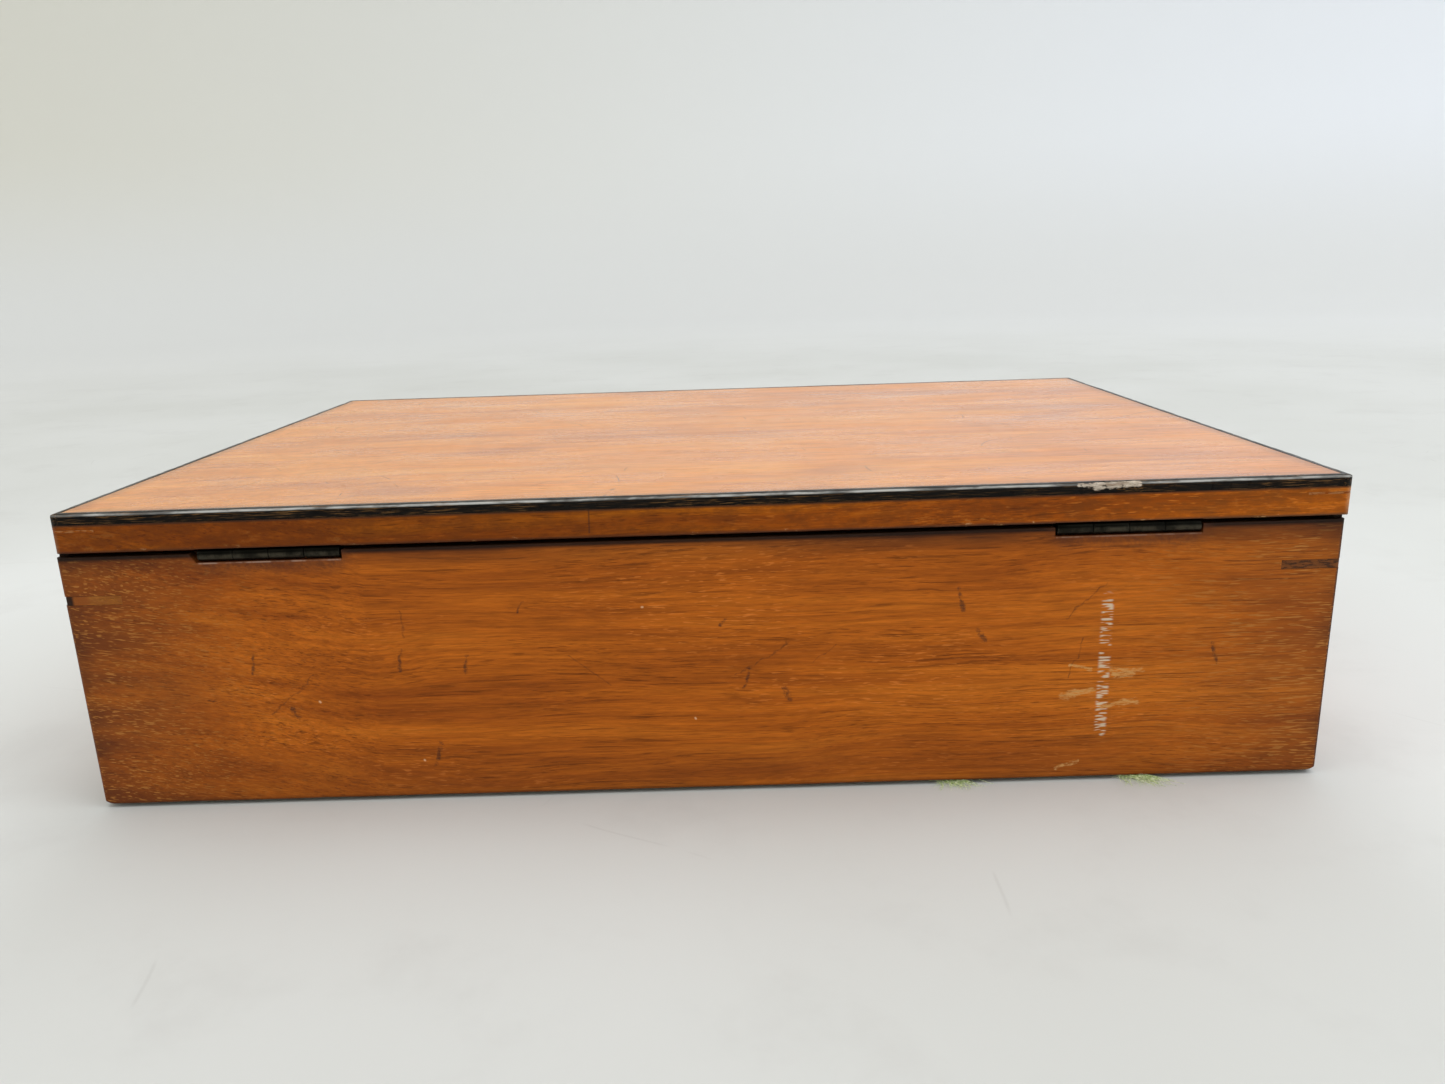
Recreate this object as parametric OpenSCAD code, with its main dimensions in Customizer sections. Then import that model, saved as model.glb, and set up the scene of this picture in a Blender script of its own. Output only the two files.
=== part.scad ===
// Wooden puzzle box: a mitred hardwood carcase with a hinged lid, an ebonised bead round the lid,
// two brass butt hinges, feather keys in the corners, baize under it, and a concealed catch.
// A loose bar inside the front wall slides sideways when the box is tipped. Its two fingers then enter
// or leave the notches of two hooks on the lid.
//
// +Z up, the front faces -Y, the hinges are at +Y. The origin is the middle of the underside.

/* [Box] */
// Width of the base, left to right
body_w = 343; // [320:1:400]
// Depth of the base, front to back
body_d = 236; // [200:1:280]
// Height of the base walls
wall_h = 72.7; // [60:0.1:90]
// Thickness of the walls and of the lid rails
wall_t = 9.5; // [9.5:0.1:12]
// How much higher the front and side walls stand than the back wall
side_rise = 0.8; // [0:0.1:0.8]
// Radius of the base's upright corners
corner_r = 1.5; // [0.5:0.1:3]
// Thickness of the bottom board
bottom_t = 5; // [4:0.1:6]
// How far the bottom board is let into the walls
rebate = 5; // [4:0.1:6]
// Thickness of the baize under the box
baize_t = 1.1; // [0.8:0.1:2]
// How far the baize stays in from the outer faces
baize_inset = 2; // [1:0.1:5]

/* [Lid] */
// Gap between the base and the lid, which is one hinge leaf thick
lid_gap = 1.1; // [0.9:0.1:1.3]
// Height of the lid rails
rail_h = 7.8; // [7.5:0.1:12]
// Thickness of the lid's top board and of its bead
top_t = 3; // [2.5:0.1:4]
// How much wider the lid is than the base, both sides together
lid_extra_w = 1.4; // [0:0.1:2]
// Radius of the lid's upright corners
lid_corner_r = 2.5; // [0.5:0.1:3]
// How far the lid has crept to the left on its hinges
lid_shift = 0.5; // [0:0.1:0.6]
// Width of the bead on the lid's top
bead_w = 2.6; // [2:0.1:4]
// Radius of the bead's outer edge
bead_r = 1.6; // [1:0.1:2]

/* [Lining] */
// Thickness of the liner boards
liner_t = 3; // [2.5:0.1:5]
// How far the liners stand above the walls, to guide the lid
lip_h = 3; // [1:0.1:5]
// How much the lip is set back from the lid rails
lip_back = 0.6; // [0.4:0.1:1]
// Thickness of the baize on the floor
floor_t = 1; // [0.8:0.1:2]

/* [Corner keys] */
// Length of a key along each face
key_leg = 16; // [12:0.1:18]
// Thickness of a key
key_t = 2.4; // [1:0.1:3]
// Height of a key's middle above the walls' bottom
key_h = 60.6; // [50:0.1:62]
// Length that has worn off the tip of the key at the back right
broken_tip = 0.6; // [0.2:0.1:5]
// Length of a lid key along each face
lid_key_leg = 12; // [8:0.1:16]
// Thickness of a lid key
lid_key_t = 0.6; // [0.5:0.1:1.5]

/* [Hinges] */
// Length of each hinge, and its distance from the end of the box
hinge_l = 38.1; // [30:0.1:45]
// Thickness of a leaf
leaf_t = 1.1; // [0.9:0.1:1.3]
// Reach of a leaf from the hinge pin's axis
leaf_reach = 7; // [6:0.1:7.5]
// How far the pin's axis lies in from the back face
axis_in = 1.45; // [1.2:0.01:1.5]
// Diameter of the hinge pin
pin_d = 1.6; // [1.2:0.1:1.8]
// Number of knuckles on a hinge
knuckles = 4; // [2:2:6]

/* [Screws] */
// Diameter of a screw's shank
screw_d = 2; // [1.6:0.1:2.4]
// Diameter of a screw's countersunk head
head_d = 4; // [3.2:0.1:4.4]
// Length of a hinge or catch screw
screw_l = 6.8; // [5:0.1:7]
// Length of a bottom screw
bottom_screw_l = 14; // [10:0.5:18]

/* [Catch] */
// Distance of each hook from the middle of the box
hook_x = 95; // [60:1:110]
// Height of the sliding bar
bar_h = 2.4; // [2:0.1:3]
// Thickness of the sliding bar, front to back
bar_w = 2; // [1.5:0.1:2.2]
// Length of the sliding bar
bar_l = 240; // [230:1:270]
// Travel of the bar from free to locked
bar_travel = 5; // [4:0.1:5.5]
// Length of each finger on the bar
finger_l = 6; // [4:0.1:10]
// Width of a hook, along the front
hook_w = 8; // [7:0.1:10]
// Thickness of a hook
hook_t = 1.6; // [1.2:0.1:1.8]

/* [Hidden] */
$fn = 48;
eps = 0.01;                     // overrun of a cut past the face it opens
slip = 0.1;                     // gap between pieces that are glued or laid in place
rim_z = baize_t + wall_h;       // top of the base walls
lid_z = rim_z + lid_gap;        // underside of the lid rails
board_z = lid_z + rail_h;       // underside of the lid's top board and bead
floor_z = baize_t + bottom_t;   // top of the bottom board
key_z = baize_t + key_h;        // middle of the base's corner keys
lid_key_drop = 1.7;             // from the top of the lid rails to the middle of their keys
lid_key_z = board_z - lid_key_drop;
lid_w = body_w + lid_extra_w;
lid_x = -lid_shift;             // middle of the lid

knuckle_r = 1.5 * leaf_t;       // a folded hinge is three leaves thick
axis_y = body_d / 2 - axis_in;
axis_z = lid_z - knuckle_r;
knuckle_l = hinge_l / knuckles;
knuckle_gap = 0.15;             // end play between two knuckles
pin_play = 0.05;                // radial clearance of the pin in the lid's knuckles
hinge_x = body_w / 2 - 1.5 * hinge_l;   // middle of a hinge, a hinge length in from the end
mortise_play = 0.5;             // gap at each end of a hinge in its mortise
knuckle_relief = 0.25;          // room in the wood round the knuckles
leaf_gap = 0.2;                 // between a leaf's plate and the other leaf's knuckles
screw_y = axis_y - 0.6 * leaf_reach;    // line of the hinge screws
hinge_screws = [-12.5, 0, 12.5];        // along the hinge, from its middle
head_h = (head_d - screw_d) / 2;        // a 90 degree countersink
pilot_play = 0.05;              // radial room for a shank in its hole
screw_tip_d = 0.4;
driver_slot_w = 0.6;
driver_slot_h = 0.5;
bottom_screw_y = body_d / 2 - wall_t + rebate / 2;
bottom_screw_x = body_w / 2 - wall_t + rebate / 2;
bottom_screws_x = [-0.34 * body_w, 0, 0.34 * body_w];   // along the front and the back
bottom_screws_y = [-0.24 * body_d, 0.24 * body_d];      // along the sides

slot_in = 5.6;                  // from the front face to the middle of the hooks and their slots
slot_y = -body_d / 2 + slot_in;
hook_front_play = 0.8;          // room in front of a hook, for its arc as the lid opens
hook_back_play = 0.4;
hook_side_play = 0.6;
hook_tip_play = 0.8;            // room under a hook
bar_play = 0.2;                 // room above and below the bar, and in front of its fingers
finger_play = 0.7;              // room between a hook and the bar, and what a finger reaches past it
bar_front_y = slot_y + hook_t / 2 + finger_play;
finger_front_y = slot_y - hook_t / 2 - finger_play;
bar_z = key_z - bar_h / 2;
hook_lip = 2.4;                 // height of the lip under the bar
hook_spine = 2.5;               // width of the hook beside its notch
notch_play = 0.3;               // room above and below the fingers in a hook's notch
hook_tip_z = bar_z - notch_play - hook_lip;
flange_w = 24;
flange_d = 8;
hook_screw_x = 8.5;             // from the hook's middle

wood = "sienna";
pale_wood = "peru";
black_wood = "#241c18";
brass = "#6b5a33";
baize = "#4d7a3a";

// ---- Shared shapes ----

// A box between two opposite corners.
module block(a, b) {
    translate(a) cube(b - a);
}

// An upright block with round corners, centred on X and Y.
module round_block(w, d, z, h, r) {
    translate([0, 0, z]) {
        translate([-w / 2 + r, -d / 2, 0]) cube([w - 2 * r, d, h]);
        translate([-w / 2, -d / 2 + r, 0]) cube([w, d - 2 * r, h]);
        for (sx = [-1, 1], sy = [-1, 1])
            translate([sx * (w / 2 - r), sy * (d / 2 - r), 0]) cylinder(r = r, h = h);
    }
}

// Turns children made for the back of a w by d frame to one of its sides: back, left, front, right.
module at_side(side) {
    rotate([0, 0, 90 * search([side], ["back", "left", "front", "right"])[0]]) children();
}

// Length of a side of a w by d frame, and the distance of its outer face from the middle.
function side_l(side, w, d) = side == "back" || side == "front" ? w : d;
function side_y(side, w, d) = side == "back" || side == "front" ? d / 2 : w / 2;

// The part of the plane that belongs to one side of a mitred frame, t thick, made tall.
module mitre(side, w, d, t, z, h) {
    l = side_l(side, w, d);
    y = side_y(side, w, d);
    at_side(side) translate([0, 0, z]) linear_extrude(h)
        polygon([[-l / 2, y], [l / 2, y], [l / 2 - t, y - t], [-l / 2 + t, y - t]]);
}

// One board of a mitred frame, with its half of the corners, which have radius r.
module frame_board(side, w, d, t, z, h, r) {
    intersection() {
        mitre(side, w, d, t, z, h);
        round_block(w, d, z, h, r);
    }
}

// The triangle that a feather key fills, at the corner of a w by d frame with signs sx and sy.
module key_kerf(w, d, leg, sx, sy, z, t, out = 1) {
    x = w / 2;
    y = d / 2;
    translate([0, 0, z - t / 2]) linear_extrude(t) scale([sx, sy])
        polygon([[x - leg - out, y + out], [x + out, y + out], [x + out, y - leg - out]]);
}

module key(w, d, leg, sx, sy, z, t, r) {
    intersection() {
        key_kerf(w, d, leg, sx, sy, z, t);
        round_block(w, d, z - t, 2 * t, r);
    }
}

// A countersunk screw pointing down from its head at the origin, with a driver slot.
module screw(l, play = 0) {
    d = screw_d + 2 * play;
    difference() {
        union() {
            translate([0, 0, -head_h]) cylinder(d1 = d, d2 = head_d + 2 * play, h = head_h);
            translate([0, 0, -l + screw_d]) cylinder(d = d, h = l - screw_d - head_h + eps);
            translate([0, 0, -l]) cylinder(d1 = screw_tip_d, d2 = d, h = screw_d);
        }
        if (play == 0)
            cube([head_d + 1, driver_slot_w, 2 * driver_slot_h], center = true);
    }
}

// ---- Places where things repeat ----

module at_hinge(side) {
    translate([(side == "left" ? -1 : 1) * hinge_x, 0, 0]) children();
}

module at_hinges() {
    for (side = ["left", "right"]) at_hinge(side) children();
}

module at_hinge_screws() {
    at_hinges() for (x = hinge_screws) translate([x, screw_y, 0]) children();
}

module at_hooks() {
    for (sx = [-1, 1]) translate([sx * hook_x, 0, 0]) children();
}

module at_hook_screws() {
    at_hooks() for (sx = [-1, 1]) translate([sx * hook_screw_x, slot_y, 0]) children();
}

module at_bottom_screws() {
    for (sy = [-1, 1], x = bottom_screws_x) translate([x, sy * bottom_screw_y, 0]) children();
    for (sx = [-1, 1], y = bottom_screws_y) translate([sx * bottom_screw_x, y, 0]) children();
}

// ---- Base ----

// What every base wall loses: the rebate for the bottom board, the key kerfs and the screw holes.
module wall_cuts() {
    w = body_w - 2 * (wall_t - rebate);
    d = body_d - 2 * (wall_t - rebate);
    block([-w / 2, -d / 2, baize_t - eps], [w / 2, d / 2, floor_z]);
    for (sx = [-1, 1], sy = [-1, 1]) key_kerf(body_w, body_d, key_leg, sx, sy, key_z, key_t);
    at_bottom_screws() translate([0, 0, baize_t]) rotate([180, 0, 0]) screw(bottom_screw_l, pilot_play);
}

module wall(side, rise = side_rise) {
    color(wood) difference() {
        frame_board(side, body_w, body_d, wall_t, baize_t, wall_h + rise, corner_r);
        wall_cuts();
        children();
    }
}

module hinge_mortises() {
    at_hinges() {
        l = hinge_l / 2 + mortise_play;
        block([-l, axis_y - leaf_reach - slip, axis_z - knuckle_r], [l, body_d, rim_z + eps]);
        block([-l, axis_y - knuckle_r - knuckle_relief, axis_z - knuckle_r - knuckle_relief],
              [l, body_d, rim_z + eps]);
    }
    at_hinge_screws() translate([0, 0, axis_z - knuckle_r + leaf_t]) screw(screw_l, pilot_play);
}

// The hooks drop through slots in the front wall, into a groove where the bar lies.
module catch_slots() {
    at_hooks() block(
        [-hook_w / 2 - hook_side_play, slot_y - hook_t / 2 - hook_front_play, hook_tip_z - hook_tip_play],
        [hook_w / 2 + hook_side_play, slot_y + hook_t / 2 + hook_back_play, lid_z]);
    block([-bar_l / 2 - bar_travel - bar_play, finger_front_y - bar_play, bar_z - bar_play],
          [bar_l / 2 + bar_play, -body_d / 2 + wall_t + eps, bar_z + bar_h + bar_play]);
}

// Behind the hinges' axis a side wall is no higher than the back wall, so that the lid can turn.
module lid_turn_room() {
    block([-body_w, axis_y, rim_z], [body_w, body_d, lid_z]);
}

module back_wall() { wall("back", 0) hinge_mortises(); }
module front_wall() { wall("front") catch_slots(); }
module left_wall() { wall("left") lid_turn_room(); }
module right_wall() { wall("right") lid_turn_room(); }

module bottom_board() {
    w = body_w - 2 * (wall_t - rebate) - 2 * slip;
    d = body_d - 2 * (wall_t - rebate) - 2 * slip;
    color(pale_wood) difference() {
        block([-w / 2, -d / 2, baize_t], [w / 2, d / 2, floor_z]);
        at_bottom_screws() translate([0, 0, baize_t]) rotate([180, 0, 0]) screw(bottom_screw_l, pilot_play);
    }
}

module bottom_screws() {
    color(brass) at_bottom_screws() translate([0, 0, baize_t]) rotate([180, 0, 0]) screw(bottom_screw_l);
}

module corner_keys() {
    color(pale_wood) difference() {
        for (sx = [-1, 1], sy = [-1, 1]) key(body_w, body_d, key_leg, sx, sy, key_z, key_t, corner_r);
        block([body_w / 2 - broken_tip, 0, key_z - key_t], [body_w, body_d, key_z + key_t]);
    }
}

module base_baize() {
    w = body_w / 2 - baize_inset;
    d = body_d / 2 - baize_inset;
    color(baize) block([-w, -d, 0], [w, d, baize_t]);
}

module floor_baize() {
    w = body_w / 2 - wall_t - liner_t - 2 * slip;
    d = body_d / 2 - wall_t - liner_t - 2 * slip;
    color(baize) block([-w, -d, floor_z], [w, d, floor_z + floor_t]);
}

// A liner board, with its outer face let back above the rim to clear the lid.
module liner(side, l) {
    y = side_y(side, body_w, body_d) - wall_t;
    color(pale_wood) at_side(side) difference() {
        block([-l / 2, y - liner_t, floor_z], [l / 2, y, rim_z + lip_h]);
        block([-l, y - lip_back, rim_z], [l, y + 1, rim_z + lip_h + 1]);
    }
}

// The end liners stop against the long ones. The long ones are cut back at their ends above the rim.
module long_liner(side) {
    x = body_w / 2 - wall_t;
    difference() {
        liner(side, 2 * (x - slip));
        for (sx = [-1, 1])
            translate([sx * (x - slip), 0, rim_z + lip_h / 2 + eps / 2])
                cube([2 * (lip_back - slip), body_d, lip_h + eps], center = true);
    }
}

module back_liner() { long_liner("back"); }
module front_liner() { long_liner("front"); }
module left_liner() { liner("left", body_d - 2 * (wall_t + liner_t + slip)); }
module right_liner() { liner("right", body_d - 2 * (wall_t + liner_t + slip)); }

// ---- Hinges ----

// The barrel of knuckle i, from the hinge's left end.
module knuckle(i) {
    translate([-hinge_l / 2 + i * knuckle_l + knuckle_gap / 2, axis_y, axis_z])
        rotate([0, 90, 0]) cylinder(r = knuckle_r, h = knuckle_l - knuckle_gap);
}

// One leaf: a plate from z to z + leaf_t, every other knuckle beginning with first, and the pin's bore.
module leaf(z, first, bore_play) {
    difference() {
        union() {
            block([-hinge_l / 2, axis_y - leaf_reach, z],
                  [hinge_l / 2, axis_y - knuckle_r - leaf_gap, z + leaf_t]);
            for (i = [first:2:knuckles - 1]) {
                knuckle(i);
                translate([-hinge_l / 2 + i * knuckle_l + knuckle_gap / 2, axis_y - leaf_reach, z])
                    cube([knuckle_l - knuckle_gap, leaf_reach, leaf_t]);
            }
        }
        translate([-hinge_l, axis_y, axis_z])
            rotate([0, 90, 0]) cylinder(d = pin_d + 2 * bore_play, h = 2 * hinge_l);
        children();
    }
}

module base_leaf(side) {
    z = axis_z - knuckle_r;
    color(brass) at_hinge(side) leaf(z, 0, eps)
        for (x = hinge_screws) translate([x, screw_y, z + leaf_t]) screw(screw_l, pilot_play);
}

module lid_leaf(side) {
    z = axis_z + knuckle_r - leaf_t;
    color(brass) at_hinge(side) leaf(z, 1, pin_play)
        for (x = hinge_screws) translate([x, screw_y, z]) rotate([180, 0, 0]) screw(screw_l, pilot_play);
}

module pin(side) {
    color(brass) at_hinge(side) translate([-hinge_l / 2, axis_y, axis_z])
        rotate([0, 90, 0]) cylinder(d = pin_d, h = hinge_l);
}

module hinge_left_base_leaf() { base_leaf("left"); }
module hinge_right_base_leaf() { base_leaf("right"); }
module hinge_left_lid_leaf() { lid_leaf("left"); }
module hinge_right_lid_leaf() { lid_leaf("right"); }
module hinge_left_pin() { pin("left"); }
module hinge_right_pin() { pin("right"); }

module hinge_base_screws() {
    color(brass) at_hinge_screws() translate([0, 0, axis_z - knuckle_r + leaf_t]) screw(screw_l);
}

module hinge_lid_screws() {
    color(brass) at_hinge_screws() translate([0, 0, lid_z - leaf_t]) rotate([180, 0, 0]) screw(screw_l);
}

// ---- Lid ----

module rail(side) {
    color(wood) difference() {
        translate([lid_x, 0, 0]) frame_board(side, lid_w, body_d, wall_t, lid_z, rail_h, lid_corner_r);
        for (sx = [-1, 1], sy = [-1, 1])
            translate([lid_x, 0, 0]) key_kerf(lid_w, body_d, lid_key_leg, sx, sy, lid_key_z, lid_key_t);
        children();
    }
}

module lid_back_rail() {
    rail("back") {
        at_hinges() block([-hinge_l / 2 - mortise_play, axis_y - knuckle_r - knuckle_relief, lid_z - eps],
                          [hinge_l / 2 + mortise_play, body_d, lid_z + knuckle_relief]);
        at_hinge_screws() translate([0, 0, lid_z - leaf_t]) rotate([180, 0, 0]) screw(screw_l, pilot_play);
    }
}

module lid_front_rail() {
    rail("front") {
        at_hooks() block([-flange_w / 2 - slip, slot_y - flange_d / 2 - slip, lid_z - eps],
                         [flange_w / 2 + slip, slot_y + flange_d / 2 + slip, lid_z + leaf_t]);
        at_hook_screws() translate([0, 0, lid_z]) rotate([180, 0, 0]) screw(screw_l, pilot_play);
    }
}

module lid_left_rail() { rail("left"); }
module lid_right_rail() { rail("right"); }

module lid_top_board() {
    w = lid_w / 2 - bead_w - slip / 2;
    d = body_d / 2 - bead_w - slip / 2;
    color(wood) translate([lid_x, 0, 0]) block([-w, -d, board_z], [w, d, board_z + top_t]);
}

// The bead's profile: its outer face is at the origin, and its outer top edge is round.
module bead_profile() {
    intersection() {
        translate([-bead_w, 0]) square([bead_w, top_t]);
        union() {
            translate([-bead_w, 0]) square([bead_w, top_t - bead_r]);
            translate([-bead_w, 0]) square([bead_w - bead_r, top_t]);
            translate([-bead_r, top_t - bead_r]) circle(r = bead_r);
        }
    }
}

module bead(side) {
    l = side_l(side, lid_w, body_d);
    y = side_y(side, lid_w, body_d);
    color(black_wood) translate([lid_x, 0, 0]) intersection() {
        at_side(side) translate([-l / 2, y, board_z])
            rotate([90, 0, 90]) linear_extrude(l) bead_profile();
        frame_board(side, lid_w, body_d, bead_w + 1, board_z - 1, top_t + 2, lid_corner_r);
    }
}

module bead_back() { bead("back"); }
module bead_front() { bead("front"); }
module bead_left() { bead("left"); }
module bead_right() { bead("right"); }

module lid_corner_keys() {
    color(pale_wood) translate([lid_x, 0, 0]) for (sx = [-1, 1], sy = [-1, 1])
        key(lid_w, body_d, lid_key_leg, sx, sy, lid_key_z, lid_key_t, lid_corner_r);
}

// ---- Catch ----

// The plate and its hook are made at the middle, and moved to the left or the right.
module at_hook(side) {
    translate([(side == "left" ? -1 : 1) * hook_x, 0, 0]) children();
}

// A brass plate let into the lid's front rail, with a slot that holds the hook's upper end.
module catch_plate(side) {
    top_z = lid_z + leaf_t;
    color(brass) at_hook(side) difference() {
        block([-flange_w / 2, slot_y - flange_d / 2, lid_z], [flange_w / 2, slot_y + flange_d / 2, top_z]);
        block([-hook_w / 2, slot_y - hook_t / 2, lid_z - 1], [hook_w / 2, slot_y + hook_t / 2, top_z + 1]);
        for (sx = [-1, 1]) translate([sx * hook_screw_x, slot_y, lid_z])
            rotate([180, 0, 0]) screw(screw_l, pilot_play);
    }
}

// A flat brass tongue that hangs into the front wall, with a notch that is open to the right.
module catch_hook(side) {
    notch_z = hook_tip_z + hook_lip;
    color(brass) at_hook(side) difference() {
        block([-hook_w / 2, slot_y - hook_t / 2, hook_tip_z],
              [hook_w / 2, slot_y + hook_t / 2, lid_z + leaf_t]);
        block([-hook_w / 2 + hook_spine, slot_y - hook_t, notch_z],
              [hook_w, slot_y + hook_t, notch_z + bar_h + 2 * notch_play]);
    }
}

module catch_plate_left() { catch_plate("left"); }
module catch_plate_right() { catch_plate("right"); }
module catch_hook_left() { catch_hook("left"); }
module catch_hook_right() { catch_hook("right"); }

module catch_screws() {
    color(brass) at_hook_screws() translate([0, 0, lid_z]) rotate([180, 0, 0]) screw(screw_l);
}

// The bar lies loose in the front wall, behind the hooks. At its right-hand end it leaves them free.
module lock_bar() {
    color(brass) block([-bar_l / 2, bar_front_y, bar_z], [bar_l / 2, bar_front_y + bar_w, bar_z + bar_h]);
}

// A short block on the front of the bar, to the right of its hook.
module lock_finger(side) {
    x = hook_w / 2 + hook_side_play;
    color(brass) at_hook(side)
        block([x, finger_front_y, bar_z], [x + finger_l, bar_front_y, bar_z + bar_h]);
}

module lock_finger_left() { lock_finger("left"); }
module lock_finger_right() { lock_finger("right"); }

back_wall();
front_wall();
left_wall();
right_wall();
bottom_board();
corner_keys();
bottom_screws();
base_baize();
floor_baize();
back_liner();
front_liner();
left_liner();
right_liner();
hinge_left_base_leaf();
hinge_right_base_leaf();
hinge_left_pin();
hinge_right_pin();
hinge_base_screws();
lock_bar();
lock_finger_left();
lock_finger_right();
lid_top_board();
lid_back_rail();
lid_front_rail();
lid_left_rail();
lid_right_rail();
bead_back();
bead_front();
bead_left();
bead_right();
lid_corner_keys();
hinge_left_lid_leaf();
hinge_right_lid_leaf();
hinge_lid_screws();
catch_plate_left();
catch_plate_right();
catch_hook_left();
catch_hook_right();
catch_screws();
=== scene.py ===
import math

import bmesh
import bpy
import numpy as np
from mathutils import Matrix, Vector, noise


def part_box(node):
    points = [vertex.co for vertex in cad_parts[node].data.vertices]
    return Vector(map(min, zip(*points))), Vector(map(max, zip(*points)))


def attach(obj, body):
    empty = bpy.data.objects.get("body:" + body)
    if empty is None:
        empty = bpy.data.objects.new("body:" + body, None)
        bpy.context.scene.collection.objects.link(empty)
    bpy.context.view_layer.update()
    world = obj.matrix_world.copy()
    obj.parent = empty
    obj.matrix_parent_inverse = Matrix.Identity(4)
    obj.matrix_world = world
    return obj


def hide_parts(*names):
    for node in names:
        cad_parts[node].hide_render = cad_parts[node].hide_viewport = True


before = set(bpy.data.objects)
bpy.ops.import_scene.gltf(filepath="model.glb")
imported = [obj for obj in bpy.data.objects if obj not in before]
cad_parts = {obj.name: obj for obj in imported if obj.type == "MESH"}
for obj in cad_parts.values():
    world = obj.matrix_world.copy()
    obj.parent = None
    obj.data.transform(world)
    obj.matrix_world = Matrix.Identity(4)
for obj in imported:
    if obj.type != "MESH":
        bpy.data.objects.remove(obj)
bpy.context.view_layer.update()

# Everything is in metres. MM turns a size in millimetres into metres.
MM = 0.001
SIDES = ("back", "left", "front", "right")


# ---------------------------------------------------------------- places taken from the frame

def span(*nodes):
    """Lowest and highest corner of several CAD nodes together."""
    boxes = [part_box(n) for n in nodes]
    lo = [min(b[0][i] for b in boxes) for i in range(3)]
    hi = [max(b[1][i] for b in boxes) for i in range(3)]
    return Vector(lo), Vector(hi)


WALLS = span("back_wall", "front_wall", "left_wall", "right_wall")
RAILS = span("lid_back_rail", "lid_front_rail", "lid_left_rail", "lid_right_rail")
BEADS = span("bead_back", "bead_front", "bead_left", "bead_right")
WALL_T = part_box("back_wall")[1].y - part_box("back_wall")[0].y
BEAD_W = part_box("bead_back")[1].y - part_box("bead_back")[0].y
CORNER_R = 1.5 * MM
LID_CORNER_R = 2.5 * MM
RIM_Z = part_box("back_wall")[1].z
HINGES = [span(f"hinge_{s}_base_leaf", f"hinge_{s}_lid_leaf") for s in ("left", "right")]


# ---------------------------------------------------------------- meshes

def hum(x, y, z, size, seed=0.0):
    """Smooth noise from -1 to 1, with bumps about size metres across."""
    return noise.noise(Vector((x / size + seed, y / size - seed, z / size + 0.5 * seed)))


def smooth_step(x, start, end):
    t = min(max((x - start) / (end - start), 0.0), 1.0)
    return t * t * (3 - 2 * t)


def add_mesh(name, verts, faces, sharp=40):
    """A new object from vertices and faces, with outward normals and its edges above `sharp` degrees kept sharp."""
    mesh = bpy.data.meshes.new(name)
    mesh.from_pydata([tuple(v) for v in verts], [], faces)
    bm = bmesh.new()
    bm.from_mesh(mesh)
    bmesh.ops.recalc_face_normals(bm, faces=bm.faces)
    bm.to_mesh(mesh)
    bm.free()
    mesh.shade_smooth()
    mesh.set_sharp_from_angle(angle=math.radians(sharp))
    obj = bpy.data.objects.new(name, mesh)
    bpy.context.scene.collection.objects.link(obj)
    return obj


def arc(cx, cz, r, start, n):
    """n + 1 points of a quarter circle round (cx, cz), from the angle start, clockwise."""
    angles = [math.radians(start - 90 * i / n) for i in range(n + 1)]
    return [(cx + r * math.cos(a), cz + r * math.sin(a)) for a in angles]


def section(thick, z0, z1, r_top, r_bottom, step, inner_r=0.25 * MM):
    """A board's section as (depth, z) points: depth is 0 on the outer face. It runs up the outer face."""
    n_face = max(2, round((z1 - z0) / step))
    n_edge = max(2, round(thick / (2 * step)))
    face_z = np.linspace(z0 + r_bottom, z1 - r_top, n_face + 1)[1:-1]
    top_d = np.linspace(r_top, thick - inner_r, n_edge + 1)[1:-1]
    points = arc(r_bottom, z0 + r_bottom, r_bottom, 270, 6)
    points += [(0.0, z) for z in face_z]
    points += arc(r_top, z1 - r_top, r_top, 180, 6)
    points += [(d, z1) for d in top_d]
    points += arc(thick - inner_r, z1 - inner_r, inner_r, 90, 2)
    points += [(thick, z) for z in face_z[::-2]]
    points += arc(thick - inner_r, z0 + inner_r, inner_r, 0, 2)
    points += [(d, z0) for d in top_d[::-1]]
    return points


def stations(half, step, end_zone=6 * MM, end_step=0.4 * MM):
    """Places along a board from -half to half, close together near the ends."""
    mid = half - end_zone
    n_mid = max(2, round(2 * mid / step))
    n_end = round(end_zone / end_step)
    ends = np.linspace(mid, half, n_end + 1)[1:]
    return np.concatenate([-ends[::-1], np.linspace(-mid, mid, n_mid + 1), ends])


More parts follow.
